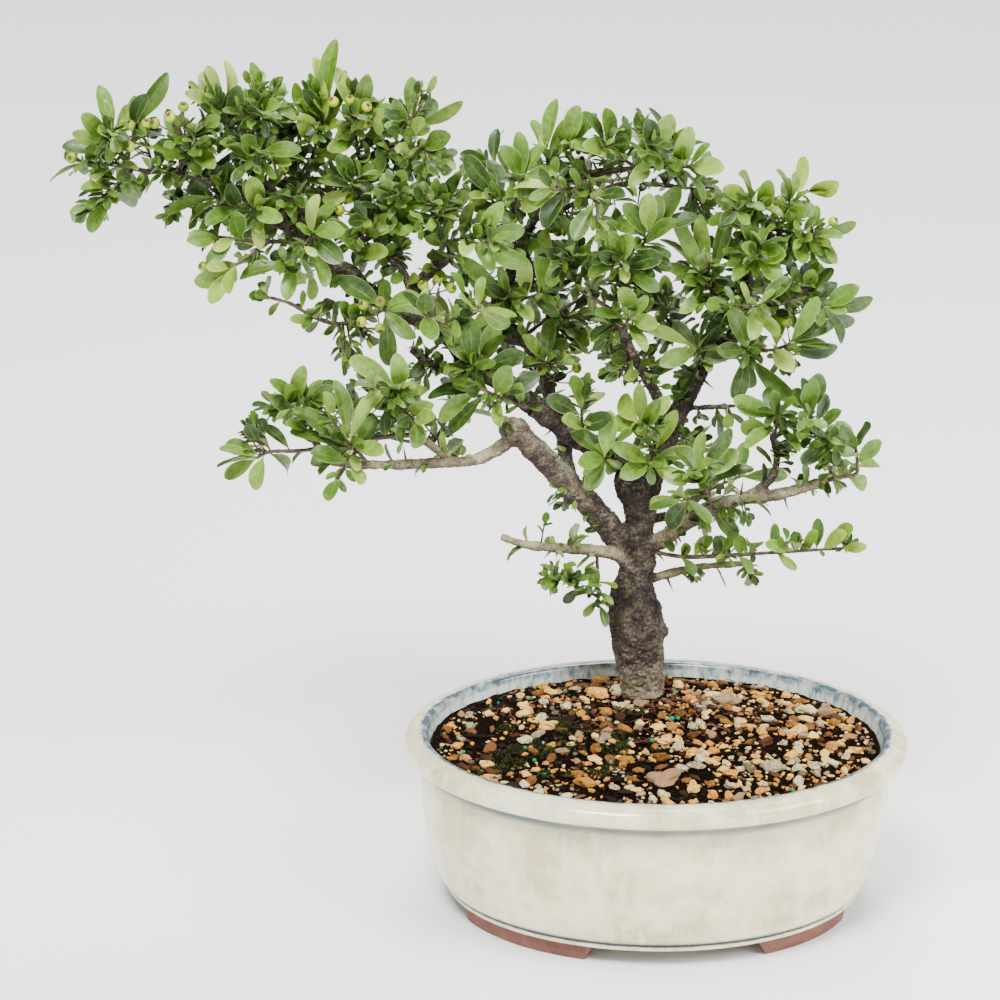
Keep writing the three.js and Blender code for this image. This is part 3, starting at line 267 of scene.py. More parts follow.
# Leafy sprays, each a row of shoots laid out as [across, up, back] points.
SPRAYS = {
    "far_left_spray": [
        Shoot([[-211, 197, -6], [-226, 200, -8], [-240, 202, -10], [-251, 203, -12]],
            tips=[[-271, 192, 72], [-241, 193, 30], [-258, 196, 20]]),
        Shoot([[-233, 201, -9], [-232, 222, -16]],
            tips=[[-263, 213], [-257, 220], [-250, 231], [-238, 245, 50], [-226, 241],
                [-240, 222]]),
        Shoot([[-224, 200, -8], [-219, 224, -8]], fill=1,
            tips=[[-199, 256, 40], [-212, 243]]),
        Shoot([[-220, 199, -7], [-233, 184, -15]], fill=1,
            tips=[[-247, 161], [-251, 187], [-223, 176]]),
    ],
    "far_big_spray": [
        Shoot([[-192, 197, -4], [-184, 219, -12]], fill=1,
            tips=[[-217, 208], [-201, 231], [-182, 226], [-189, 197], [-172, 200]]),
    ],
    "left_top_spray": [
        Shoot([[-140, 188, 2], [-148, 203, 0], [-160, 222, 0], [-169, 234, 0]], fill=1,
            tips=[[-188, 245], [-177, 259, 40], [-164, 264, 55], [-157, 248], [-184, 224]]),
        Shoot([[-152, 210, 0], [-144, 231, -10]],
            tips=[[-149, 263, 40], [-131, 250], [-159, 234], [-120, 233]]),
        Shoot([[-146, 200, 0], [-146, 208, -18]],
            tips=[[-120, 210], [-151, 220], [-167, 215]]),
    ],
    "upright_pale_spray": [
        Shoot([[-123, 164, 6], [-120, 184, 12], [-112, 208, 10], [-106, 226, 6]], fill=1,
            tips=[[-112, 266, 45], [-102, 270, 0], [-96, 260, 50], [-119, 231], [-97, 242]]),
        Shoot([[-115, 200, 11], [-134, 214, 14]], fill=3,
            tips=[[-132, 236]]),
    ],
    "round_top_spray": [
        Shoot([[-84, 194, 8], [-88, 230, 4]], fill=1,
            tips=[[-79, 255], [-98, 226], [-66, 238], [-103, 210]]),
        Shoot([[-85, 203, 8], [-72, 210, 2], [-60, 214, -4], [-52, 228, -8]], fill=1,
            tips=[[-53, 254], [-63, 240], [-38, 240], [-22, 239, 72]]),
        Shoot([[-64, 212, -2], [-45, 211, -14]],
            tips=[[-30, 218], [-25, 203], [-42, 197]]),
    ],
    "bough_spray": [
        Shoot([[-79, 174, 6], [-89, 190, -10]], fill=1,
            tips=[[-98, 207], [-69, 206], [-109, 194], [-113, 179], [-75, 186]]),
    ],
    "front_rosette": [
        Shoot([[-113, 154, 0], [-112, 160, -20]],
            tips=[[-100, 180], [-93, 162], [-95, 143], [-135, 140], [-113, 176]]),
        Shoot([[-113, 158, -12], [-126, 140, -18]],
            tips=[[-157, 134], [-128, 120], [-104, 128]]),
    ],
    "left_middle_spray": [
        Shoot([[-146, 170, 8], [-147, 174, -8]],
            tips=[[-131, 168], [-162, 190], [-149, 194], [-121, 191], [-144, 150]]),
        Shoot([[-147, 171, 4], [-172, 182, -4]], fill=2,
            tips=[[-188, 190], [-176, 166], [-200, 172]]),
    ],
    "left_pale_spray": [
        Shoot([[-116, 156, 2], [-136, 155, -4], [-154, 156, -8], [-169, 158, -10]],
            tips=[[-187, 156], [-176, 142], [-160, 172]]),
        Shoot([[-138, 155, -4], [-163, 138, -16]], fill=1,
            tips=[[-174, 118], [-163, 124], [-140, 143], [-183, 130]]),
    ],
    "berry_rosette": [
        Shoot([[-69, 118, -4], [-69, 114, -23]],
            tips=[[-95, 97], [-81, 91], [-52, 97], [-97, 133], [-70, 132], [-47, 121]]),
        Shoot([[-69, 115, -14], [-92, 106, -17], [-110, 109, -19], [-126, 118, -21],
            [-141, 122, -22]], size=0.45, spread=50,
            tips=[[-150, 121], [-139, 111], [-117, 101], [-118, 126], [-104, 99]]),
    ],
    "middle_spray": [
        Shoot([[-89, 135, 2], [-82, 160, -10]], fill=1,
            tips=[[-96, 160], [-62, 168], [-68, 148], [-104, 168]]),
        Shoot([[-84, 154, -7], [-64, 178, -18]],
            tips=[[-43, 178], [-41, 191], [-59, 198], [-48, 163], [-76, 196]]),
    ],
    "fork_spray": [
        Shoot([[-30, 147, -14], [-37, 168, -24]], fill=1,
            tips=[[-41, 190], [-24, 197], [-54, 172]]),
        Shoot([[-34, 155, -18], [-9, 158, -28]],
            tips=[[-16, 178], [1, 178], [15, 162, 50], [-22, 147], [17, 141, 40], [-4, 137]]),
    ],
    "crown_left_spray": [
        Shoot([[13, 152, 8], [0, 181, -6]], fill=1,
            tips=[[-21, 207], [-18, 182, 50], [-6, 205], [8, 164]]),
        Shoot([[5, 168, 1], [13, 192, -14]],
            tips=[[1, 212], [12, 221], [26, 214], [28, 188]]),
    ],
    "crown_spear_spray": [
        Shoot([[30, 184, 1], [28, 208, -10]], fill=1,
            tips=[[32, 240], [20, 228], [16, 206], [44, 200]]),
        Shoot([[28, 198, -7], [41, 215, -16]],
            tips=[[47, 236], [55, 228]]),
    ],
    "crown_right_spray": [
        Shoot([[70, 198, -4], [88, 200, -6], [104, 199, -8], [117, 201, -8]], fill=1,
            tips=[[114, 223], [128, 206], [134, 199], [114, 189]]),
        Shoot([[82, 199, -5], [62, 212, -18]],
            tips=[[49, 230, 40], [63, 235], [50, 212], [76, 226]]),
        Shoot([[92, 200, -7], [91, 211, -20]],
            tips=[[89, 228], [103, 231, 50], [78, 188]]),
        Shoot([[100, 199, -7], [102, 212, 8]], fill=2,
            tips=[[99, 226]]),
    ],
    "hanging_spray": [
        Shoot([[67, 113, -5], [72, 126, -8], [78, 138, -10], [84, 150, -12], [90, 161, -16]],
            tips=[[74, 178], [89, 184], [99, 180], [108, 188], [105, 168]]),
        Shoot([[76, 134, -9], [71, 144, -22]],
            tips=[[61, 170], [79, 158], [54, 134], [58, 150], [97, 146], [96, 126]]),
    ],
    "centre_fan": [
        Shoot([[65, 114, -5], [56, 121, -6], [47, 128, -8], [44, 142, -10]], fill=1,
            tips=[[48, 158], [36, 170, 50], [28, 150], [58, 148]]),
    ],
    "centre_big_spray": [
        Shoot([[1, 117, 14], [26, 124, -4]],
            tips=[[38, 150], [27, 163], [14, 146], [41, 132], [34, 110]]),
        Shoot([[8, 119, 5], [5, 121, -14]],
            tips=[[-25, 146], [-16, 104], [0, 104], [19, 108], [-14, 130]]),
    ],
    "big_pale_spray": [
        Shoot([[-9, 77, -7], [-17, 80, -25]],
            tips=[[-18, 110], [-32, 104], [3, 98], [15, 88], [-33, 76], [-3, 108]]),
    ],
    "left_low_fan": [
        Shoot([[27, 52, -3], [10, 58, -14], [-3, 63, -20], [-12, 67, -24]],
            tips=[[0, 44], [-37, 47], [-45, 62], [-32, 40], [-31, 72], [6, 80], [24, 76]]),
    ],
    "upright_middle_spray": [
        Shoot([[25, 78, 23], [27, 82, 2]],
            tips=[[30, 109], [14, 98], [42, 96], [44, 76]]),
    ],
    "small_centre_spray": [
        Shoot([[50, 36, 5], [49, 54, -4]],
            tips=[[43, 74], [61, 66], [29, 60], [36, 46], [66, 50]]),
    ],
    "trunk_top_spray": [
        Shoot([[73, 24, 8], [62, 25, -13]],
            tips=[[65, 54], [47, 22], [52, 6], [78, 42], [45, 40]]),
    ],
    "bright_spray": [
        Shoot([[94, 32, 4], [89, 21, -16]],
            tips=[[117, 29], [65, 36], [106, 54], [112, 10], [72, 14]]),
        Shoot([[92, 29, -2], [84, 46, -16]],
            tips=[[73, 63], [84, 69], [96, 60], [66, 48]]),
    ],
    "right_low_big_spray": [
        Shoot([[128, -5, -17], [118, 18, -31]],
            tips=[[139, 43], [158, 16], [124, 43], [104, 32], [143, 30]]),
        Shoot([[124, 2, -23], [110, 0, -36]],
            tips=[[89, -3], [127, -14], [100, -16]]),
    ],
    "front_right_spray": [
        Shoot([[124, 83, 12], [118, 92, -8]],
            tips=[[104, 60], [96, 81], [137, 125], [84, 104], [104, 108], [89, 72], [132, 110]]),
    ],
    "heart_right_spray": [
        Shoot([[140, 101, 10], [134, 116, -2], [124, 131, -8]],
            tips=[[108, 113], [104, 172], [139, 178], [121, 171], [97, 158, 60], [100, 142]]),
        Shoot([[137, 108, 5], [156, 117, -36]], fill=3),
    ],
    "centre_right_spray": [
        Shoot([[73, 101, -4], [78, 110, -17]],
            tips=[[73, 126], [95, 105], [58, 112], [88, 90], [92, 122]]),
    ],
    "right_middle_spray": [
        Shoot([[125, 84, 12], [139, 86, 6], [152, 90, -2], [164, 90, -8], [174, 94, -12]],
            tips=[[191, 122], [176, 78], [202, 107], [203, 91, 50], [165, 112]]),
        Shoot([[146, 89, 1], [148, 90, -14]],
            tips=[[138, 115], [155, 108], [148, 67], [138, 62], [122, 84], [178, 58, 40]]),
    ],
    "right_edge_spray": [
        Shoot([[182, 126, 4], [195, 114, -8]],
            tips=[[224, 121, 60], [215, 128], [200, 138], [212, 106, 50]]),
    ],
    "right_upper_spray": [
        Shoot([[150, 133, 6], [155, 150, 4], [163, 170, 4], [174, 178, 5], [185, 186, 6]], fill=1,
            tips=[[166, 198, 68], [177, 196, 78], [191, 170], [202, 190, 76]]),
        Shoot([[160, 163, 4], [188, 158, -9]],
            tips=[[182, 176], [205, 158], [214, 166, 60], [203, 143], [182, 142]]),
        Shoot([[154, 147, 4], [154, 147, -14]],
            tips=[[128, 150], [168, 131], [172, 146], [146, 166], [140, 132]]),
        Shoot([[161, 165, 4], [150, 180, -4]], fill=1,
            tips=[[144, 196], [132, 184, 40], [162, 192], [136, 168]]),
    ],
    "right_low_rosette": [
        Shoot([[164, 34, -23], [167, 51, -33]],
            tips=[[141, 59], [177, 60], [160, 68], [144, 44], [147, 31], [180, 30]]),
    ],
    "right_end_spray": [
        Shoot([[195, 11, -34], [206, 14, -36], [214, 16, -37], [214, 26, -38], [213, 33, -39]],
            size=0.8,
            tips=[[228, 36, 30], [227, 22], [222, 46], [205, 44]]),
        Shoot([[202, 13, -35], [194, 26, -36], [190, 42, -36], [185, 54, -36]], size=0.8,
            tips=[[188, 73], [196, 64], [204, 54], [175, 66]]),
        Shoot([[192, 32, -36], [200, 36, -44]], size=0.7,
            tips=[[180, 24], [206, 20], [194, 18]]),
    ],
    "low_right_shoot": [
        Shoot([[86, -32, -9], [110, -34, -14], [140, -33, -20], [172, -31, -26], [206, -29, -30]],
            size=0.62, spread=110,
            tips=[[127, -22], [143, -20], [152, -44], [165, -14], [190, -18], [210, -17],
                [220, -28], [118, -45], [178, -42]]),
    ],
    "left_low_rosette": [
        Shoot([[-78, 21, -40], [-92, 36, -52]],
            tips=[[-98, 72], [-68, 68], [-76, 50], [-70, 28], [-114, 22], [-127, 36], [-124, 52]]),
        Shoot([[-86, 29, -47], [-98, 12, -57]],
            tips=[[-103, 0], [-84, 10], [-116, 32]]),
    ],
    "left_low_far_spray": [
        Shoot([[-50, 39, -37], [-76, 37, -36], [-116, 30, -38], [-138, 29, -42], [-146, 25, -44]],
            tips=[[-165, 34], [-152, 43], [-170, 20, 60], [-147, 6], [-127, 16]]),
        Shoot([[-110, 31, -37], [-124, 56, -30]],
            tips=[[-118, 80], [-138, 72], [-143, 57, 50], [-106, 72]]),
    ],
    "left_low_small_spray": [
        Shoot([[-59, 50, -41], [-62, 66, -46]], size=0.9,
            tips=[[-62, 87], [-88, 82], [-44, 68], [-78, 60]]),
        Shoot([[-60, 55, -43], [-50, 46, -52]], size=0.7,
            tips=[[-38, 48], [-60, 34], [-44, 34]]),
    ],
    "low_small_spray": [
        Shoot([[58, -32, -11], [59, -63, -19]], size=0.6,
            tips=[[54, -39], [70, -54], [50, -70], [63, -76]]),
        Shoot([[59, -58, -18], [32, -45, -24]], size=0.55, spread=24,
            tips=[[24, -38], [22, -50], [38, -38], [38, -62]]),
    ],
    "back_left_branch": [
        Shoot([[32, 56, 21], [26, 68, 38], [8, 92, 50], [-14, 116, 62]], fill=3, spread=26),
        Shoot([[16, 81, 43], [42, 112, 60]], fill=3),
        Shoot([[0, 100, 54], [-38, 108, 82]], fill=3),
    ],
    "back_far_left_branch": [
        Shoot([[-93, 136, 3], [-106, 148, 24], [-124, 160, 44], [-146, 168, 58]],
            fill=3, spread=26),
        Shoot([[-114, 153, 33], [-98, 188, 52]], fill=3),
        Shoot([[-124, 160, 44], [-120, 148, 62], [-114, 136, 70]], fill=3),
    ],
    "back_crown_branch": [
        Shoot([[27, 181, 4], [26, 184, 30], [36, 188, 52], [52, 192, 66]], fill=3, spread=26),
        Shoot([[26, 185, 34], [-6, 202, 54]], fill=3),
        Shoot([[44, 190, 59], [70, 192, 56], [88, 198, 50]], fill=3),
    ],
    "back_middle_branch": [
        Shoot([[12, 97, 22], [30, 110, 44], [50, 122, 60], [66, 134, 74]], fill=3, spread=26),
        Shoot([[30, 110, 44], [12, 148, 62]], fill=3),
        Shoot([[50, 122, 60], [76, 100, 90]], fill=3),
    ],
    "back_right_branch": [
        Shoot([[118, 68, 16], [126, 84, 40], [136, 106, 58], [150, 126, 70]], fill=3, spread=26),
        Shoot([[126, 84, 40], [108, 98, 58], [98, 112, 66]], fill=3),
        Shoot([[136, 106, 58], [164, 108, 54], [182, 114, 48]], fill=3),
    ],
    "back_low_right_branch": [
        Shoot([[112, -6, 18], [126, 6, 38], [144, 14, 52]], fill=3),
        Shoot([[122, 4, 33], [114, 34, 52]], fill=3),
    ],
    "back_low_left_branch": [
        Shoot([[-24, 25, -26], [-38, 32, 0], [-60, 36, 20], [-84, 42, 32]], fill=3, spread=26),
        Shoot([[-40, 33, 4], [-26, 58, 22]], fill=3),
    ],
    "front_crown_branch": [
        Shoot([[54, 192, -3], [58, 176, -46]], fill=3),
        Shoot([[55, 187, -18], [32, 186, -44]], fill=3),
    ],
    "front_left_branch": [
        Shoot([[-37, 101, -9], [-38, 106, -36], [-46, 112, -56]], fill=3),
        Shoot([[-37, 104, -24], [-12, 116, -50]], fill=3),
    ],
}
YOUNG = [
    "upright_pale_spray", "bright_spray", "left_pale_spray", "right_upper_spray", "low_right_shoot",
]

# Berry bunches.
BUNCHES = {
    "far_left_berries": Bunch(root=[-207, 197, -5], hub=[-211, 210, -18],
        berries=[[-222, 225], [-212, 226], [-230, 219], [-222, 212]]),
    "left_top_berries": Bunch(root=[-187, 211, -10], hub=[-190, 219, -20],
        berries=[[-207, 226], [-198, 230], [-190, 236]]),
    "bough_end_berries": Bunch(root=[-141, 192, 2], hub=[-139, 199, -10],
        berries=[[-135, 212], [-146, 200], [-130, 199]]),
    "crown_berries": Bunch(root=[-87, 221, 6], hub=[-90, 227, -6],
        berries=[[-100, 239], [-90, 240], [-80, 236], [-80, 226]]),
    "middle_berries": Bunch(root=[-78, 170, 6], hub=[-81, 172, -8],
        berries=[[-96, 174], [-90, 181], [-88, 167], [-70, 186], [-67, 176]]),
    "fork_berries": Bunch(root=[-50, 127, -10], hub=[-43, 122, -22],
        berries=[[-46, 129], [-37, 133], [-29, 127]]),
    "low_bough_berries": Bunch(root=[-69, 114, -21], hub=[-75, 111, -33],
        berries=[[-82, 117], [-83, 107], [-72, 103], [-72, 119]]),
    "centre_berries": Bunch(root=[26, 70, 23], hub=[33, 73, 8],
        berries=[[32, 84], [40, 87], [25, 78], [46, 79], [44, 70]]),
}

# The larger stones on the soil: x, y, half the length and the tone of each.
STONES = [
    [-32, 66, 9, 0.53], [-20, 72, 7, 0.8], [48, 56, 9.5, 0.7], [2, -62, 11, 0.67],
    [-64, 16, 7, 0.35], [88, 10, 7, 0.48], [66, -44, 8, 0.74], [-44, -66, 7, 0.2],
    [96, 40, 7, 0.86],
]

# More leaf tips that show from the front, as [across, up].
MORE_TIPS = [
    [-262, 208], [-240, 242], [-237, 247], [-244, 212], [-214, 228], [-222, 240], [-250, 186],
    [-218, 180], [-230, 193], [-183, 224], [-173, 193], [-218, 198], [-172, 212], [-176, 261],
    [-182, 263], [-158, 246], [-166, 224], [-151, 262], [-129, 250], [-167, 224], [-133, 238],
    [-139, 186], [-110, 255], [-96, 263], [-101, 238], [-84, 240], [-118, 246], [-77, 242],
    [-96, 226], [-72, 222], [-99, 214], [-62, 240], [-42, 224], [-24, 208], [-25, 199],
    [-40, 203], [-45, 226], [-117, 188], [-130, 204], [-84, 170], [-136, 139], [-107, 142],
    [-122, 150], [-74, 146], [-157, 166], [-163, 190], [-150, 190], [-134, 188], [-144, 167],
    [-186, 156], [-172, 150], [-188, 160], [-158, 168], [-150, 150], [-176, 140], [-145, 157],
    [-140, 143], [-150, 122], [-157, 150], [-146, 122], [-126, 108], [-118, 103], [-112, 120],
    [-110, 118], [-45, 124], [-53, 117], [-86, 143], [-46, 161], [-60, 171], [-74, 178],
    [-59, 198], [-70, 196], [-80, 186], [-52, 170], [-19, 178], [-44, 146], [-33, 147],
    [-25, 160], [11, 163], [16, 157], [-29, 164], [0, 139], [-25, 146], [-1, 209], [-18, 192],
    [14, 196], [-10, 198], [-2, 223], [24, 216], [-1, 189], [18, 178], [33, 198], [42, 213],
    [38, 224], [54, 230], [58, 232], [60, 218], [50, 210], [68, 196], [80, 224], [98, 214],
    [72, 210], [115, 221], [126, 214], [104, 212], [89, 182], [74, 155], [67, 158], [60, 149],
    [99, 135], [60, 124], [54, 152], [36, 158], [17, 141], [10, 136], [17, 130], [-2, 108],
    [6, 104], [-10, 134], [-28, 118], [16, 82], [-31, 74], [-60, 70], [-40, 57], [-30, 68],
    [12, 70], [32, 114], [37, 105], [50, 15], [51, 8], [62, 52], [79, 44], [92, 30], [90, 34],
    [89, -4], [143, 17], [108, 42], [159, -26], [173, 15], [98, 83], [110, 84], [122, 84],
    [102, 62], [107, 117], [119, 171], [103, 146], [98, 132], [60, 112], [64, 96], [155, 107],
    [140, 61], [133, 90], [206, 94], [198, 92], [192, 76], [174, 113], [202, 131], [208, 112],
    [189, 124], [182, 174], [197, 154], [186, 156], [201, 141], [175, 192], [165, 139],
    [169, 150], [150, 170], [140, 117], [134, 187], [129, 180], [170, 181], [171, 162],
    [166, 154], [182, 129], [175, 192], [196, 186], [174, 61], [162, 63], [146, 35], [181, 19],
    [183, 44], [202, 47], [211, 39], [198, 33], [181, 22], [209, 19], [220, 8], [229, 35],
    [143, -22], [152, -27], [207, -19], [212, -16], [191, -11], [-91, 87], [-101, 70],
    [-62, 82], [-79, 52], [-128, 46], [-81, 67], [-87, 16], [-117, 72], [-136, 62], [-142, 45],
    [-173, 28], [-166, 13], [-40, 49], [-52, 68], [-51, 31],
]

# Pads of small leaves and thin twigs between the large leaves, as [across, up, radius].
WIDE_PAD = 11.5
PADS = [
    [-150, 196, 34], [-102, 186, 36], [-60, 182, 30], [-192, 204, 14], [-156, 228, 18],
    [-120, 226, 18], [-78, 222, 16], [-118, 150, 18], [-36, 184, 16], [0, 164, 22], [36, 190, 22],
    [74, 212, 16], [12, 128, 22], [42, 148, 20], [-10, 100, 18], [74, 154, 15], [36, 100, 15],
    [138, 162, 22], [122, 126, 24], [160, 126, 22], [144, 96, 17], [168, 166, 16], [84, 124, 15],
    [180, 46, 13], [120, 24, 15], [90, 40, 14], [192, 30, 12], [-94, 52, 20], [-60, 58, 15],
    [-124, 58, 12], [-26, 78, 15], [-236, 212, 15], [-246, 200, 8], [100, 205, 14],
    [-252, 172, 9], [-240, 188, 6], [-228, 206, 8], [-205, 212, 11], [-196, 190, 10],
    [-201, 168, 5], [-212, 187, 5], [-196, 230, 6], [-166, 206, 10], [-170, 195, 8],
    [-157, 197, 8], [-182, 252, 6],
    [-148, 257, 6], [-140, 252, 6], [-131, 249, 5], [-120, 240, 10], [-114, 253, 6], [-138, 220, 8],
    [-125, 214, 6], [-100, 117, 11], [-88, 114, 8], [-80, 96, 6], [-93, 103, 6], [-94, 79, 8],
    [-150, 50, 7], [-142, 56, 7], [-133, 52, 6], [-128, 60, 8], [-181, 165, 7], [-176, 151, 5],
    [-140, 135, 6], [-88, 250, 5], [-70, 238, 5], [-45, 248, 6], [-68, 219, 8], [-62, 203, 9],
    [-42, 198, 11], [-50, 192, 7], [-26, 190, 8], [-22, 201, 6], [-24, 178, 5], [-50, 160, 8],
    [-59, 155, 6], [-75, 138, 9], [-68, 132, 6], [-80, 146, 5], [-42, 135, 8], [-35, 127, 6],
    [-25, 139, 5], [-19, 125, 6], [-16, 162, 6], [-45, 96, 8], [-33, 90, 8], [-40, 76, 6],
    [-51, 72, 7], [45, 205, 8], [39, 210, 6], [51, 200, 5], [79, 231, 7], [75, 214, 6],
    [95, 196, 10], [86, 190, 6], [7, 190, 5], [36, 158, 6], [55, 155, 5], [80, 145, 6],
    [95, 140, 8], [70, 126, 8], [62, 130, 6], [86, 120, 7], [95, 128, 6], [42, 128, 5],
    [10, 108, 6], [2, 90, 5], [10, 78, 5], [35, 76, 6], [40, 82, 5], [52, 95, 10], [63, 86, 9],
    [68, 77, 8], [75, 69, 5], [50, 105, 6], [57, 75, 7], [46, 89, 5], [96, 95, 8], [98, 80, 8],
    [92, 68, 5], [0, 50, 6], [-10, 57, 5], [5, 42, 5], [-30, 35, 8], [-45, 38, 6], [-60, 50, 5],
    [20, 65, 4], [96, 214, 8], [92, 205, 6], [130, 175, 8], [128, 166, 6], [145, 176, 5],
    [145, 155, 7], [135, 141, 10], [138, 130, 8], [146, 128, 5], [165, 160, 8], [173, 154, 7],
    [178, 145, 10], [186, 140, 8], [191, 150, 6], [197, 145, 6], [190, 165, 7], [184, 175, 5],
    [175, 137, 6], [187, 131, 5], [110, 130, 8], [118, 127, 8], [125, 115, 8], [115, 108, 8],
    [131, 112, 5], [89, 96, 7], [90, 80, 8], [115, 80, 9], [105, 70, 6], [108, 62, 5], [174, 76, 8],
    [175, 48, 7], [172, 30, 9], [180, 20, 8], [195, 18, 6], [190, 8, 5], [201, 5, 5], [115, 45, 6],
    [130, 40, 8], [105, 20, 6], [120, 15, 6], [135, 8, 6], [98, -15, 4], [125, -17, 8],
    [135, -12, 6], [145, -20, 8], [150, -26, 6], [139, -28, 6], [175, -22, 7], [184, -25, 5],
    [212, -20, 6], [153, -52, 4], [118, -46, 4], [110, -25, 5], [30, -4, 5], [40, -6, 5],
    [37, 4, 4], [48, -20, 6], [56, -18, 4], [40, -45, 9], [50, -49, 9], [30, -50, 7], [58, -59, 6],
    [34, -36, 5],
]

# Single berries besides the bunches, as [across, up].
LOOSE_BERRIES = [
    [-174, 215], [-169, 215], [-208, 180], [-211, 175], [-47, 214], [-42, 211], [-8, 95],
    [200, 167], [172, 107], [-257, 205], [-256, 209], [-182, 149], [-178, 140], [-173, 140],
    [31, 163], [35, 161], [-176, 245],
]

# Where new leaves may stand: the part's box in pot-centred millimetres, less a little all round,
# and how far beyond that a leaf's own points may reach.
SPARE = Vector((2, 2, 2))
ROOM_LOW = (CAD_BOX[0] - MIDDLE) / MM + SPARE
ROOM_HIGH = (CAD_BOX[1] - MIDDLE) / MM - SPARE
REACH_BEYOND = 1.8


def draw(*keys):
    """A repeatable draw between 0 and 1 for a row of whole numbers."""
    mask = 0xFFFFFFFF
    value = 2166136261
    for key in keys:
        value = ((value ^ (key & mask)) * 16777619) & mask
        value ^= value >> 13
        value = (value * 1540483477) & mask
        value ^= value >> 15
    return value / 4294967296


def place(across, up, back):
    """The point that lies there on the picture plane, that far behind the trunk's axis."""
    cos, sin = math.cos(GAZE_DOWN), math.sin(GAZE_DOWN)
    ray = Vector((across, PICTURE_AWAY * cos + up * sin, up * cos - PICTURE_AWAY * sin))
    return EYE + ray * ((TRUNK_Y + back - EYE.y) / ray.y)


def to_row(points):
    """Pot-centred millimetres as metres in the part's frame."""
    return np.asarray(points, float) * MM + np.array(MIDDLE)


def linked(name, mesh):
    """A new object of that mesh in the scene."""
    thing = bpy.data.objects.new(name, mesh)
    bpy.context.scene.collection.objects.link(thing)
    return thing


def final_mesh(thing):
    """A new mesh of the object as its modifiers leave it."""
    graph = bpy.context.evaluated_depsgraph_get()
    return bpy.data.meshes.new_from_object(thing.evaluated_get(graph))


def baked(thing):
    """The object with its modifiers made part of its mesh."""
    mesh = final_mesh(thing)
    thing.modifiers.clear()
    thing.data = mesh
    return thing


def tree_of(points):
    """These points, ready to look up the nearest."""
    tree = KDTree(len(points))
    for i, point in enumerate(points):
        tree.insert(point, i)
    tree.balance()
    return tree


def keep_tones(mesh, tones):
    """Keeps a tone at each point of the mesh, for its material."""
    kept = mesh.attributes.new("tone", "FLOAT", "POINT")
    kept.data.foreach_set("value", tones)


def drawn(bm):
    """The points and faces of a bmesh, which is freed."""
    bmesh.ops.recalc_face_normals(bm, faces=bm.faces)
    bm.verts.index_update()
    points = np.array([vert.co[:] for vert in bm.verts])
    faces = [[vert.index for vert in face.verts] for face in bm.faces]
    bm.free()
    return points, faces


def finished(thing, materials, slot="", replaces=(), smooth_below=40):
    """Gives a piece its materials and shading, and sets it on the part."""
    for material in materials:
        thing.data.materials.append(material)
    bm = bmesh.new()
    bm.from_mesh(thing.data)
    for face in bm.faces:
        face.smooth = True
    for edge in bm.edges:
        edge.smooth = edge.calc_face_angle(0) < math.radians(smooth_below)
    bm.to_mesh(thing.data)
    bm.free()
    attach(thing, "root")
    for node in replaces:
        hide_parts(node)
    return thing


class Pile:
    """Many small bodies that become one piece, each with a tone for its material."""

    def __init__(self):
        self.points, self.faces, self.tones, self.charts, self.kinds = [], [], [], [], []
        self.count = 0

    def add(self, points, faces, tone=0.5, chart=None, kinds=None):
        """Chart is a pair of numbers for each point, and kinds a material number for each face."""
        self.points.append(np.asarray(points, float))
        self.faces.extend([[index + self.count for index in face] for face in faces])
        self.tones.append(np.full(len(points), tone))
        self.charts.append(np.zeros((len(points), 2)) if chart is None else chart)
        self.kinds.extend([0] * len(faces) if kinds is None else kinds)
        self.count += len(points)

    def piece(self, name, materials, **rest):
        """The one object that holds all the bodies."""
        mesh = bpy.data.meshes.new(name)
        mesh.from_pydata(to_row(np.concatenate(self.points)), [], self.faces)
        mesh.polygons.foreach_set("material_index", self.kinds)
        keep_tones(mesh, np.concatenate(self.tones).astype(np.float32))
        corners = np.zeros(len(mesh.loops), np.int32)
        mesh.loops.foreach_get("vertex_index", corners)
        chart = mesh.uv_layers.new(name="chart")
        chart.data.foreach_set("uv", np.concatenate(self.charts)[corners].ravel())
        return finished(linked(name, mesh), materials, **rest)


def inside_box(points):
    """Whether all these points lie inside the part's own box."""
    return all(ROOM_LOW[i] < point[i] < ROOM_HIGH[i] for point in points for i in range(3))


def srgb(code):
    """A colour written as sRGB hex, as linear red, green, blue and alpha."""
    def channel(shift):
        value = (code >> shift & 255) / 255
        return value / 12.92 if value <= 0.04045 else ((value + 0.055) / 1.055) ** 2.4

    return (channel(16), channel(8), channel(0), 1.0)


def colour_setting(name, text, code):
    """A colour that a user can change."""
    return bpy.props.FloatVectorProperty(
        name=name, description=text, default=srgb(code), size=4, min=0, max=1, subtype="COLOR"
    )


def count_setting(name, text, default):
    """A whole number that a user can change."""
    return bpy.props.IntProperty(name=name, description=text, default=default)


def amount_setting(name, text, default, **units):
    """A number that a user can change."""
    return bpy.props.FloatProperty(name=name, description=text, default=default, **units)


def length_setting(name, text, default):
    """A length in metres that a user can change."""
    return amount_setting(name, text, default, precision=5, subtype="DISTANCE", unit="LENGTH")


def per_mm(size):
    """The scale of a pattern whose cells are that many millimetres across."""
    return 1000 / size


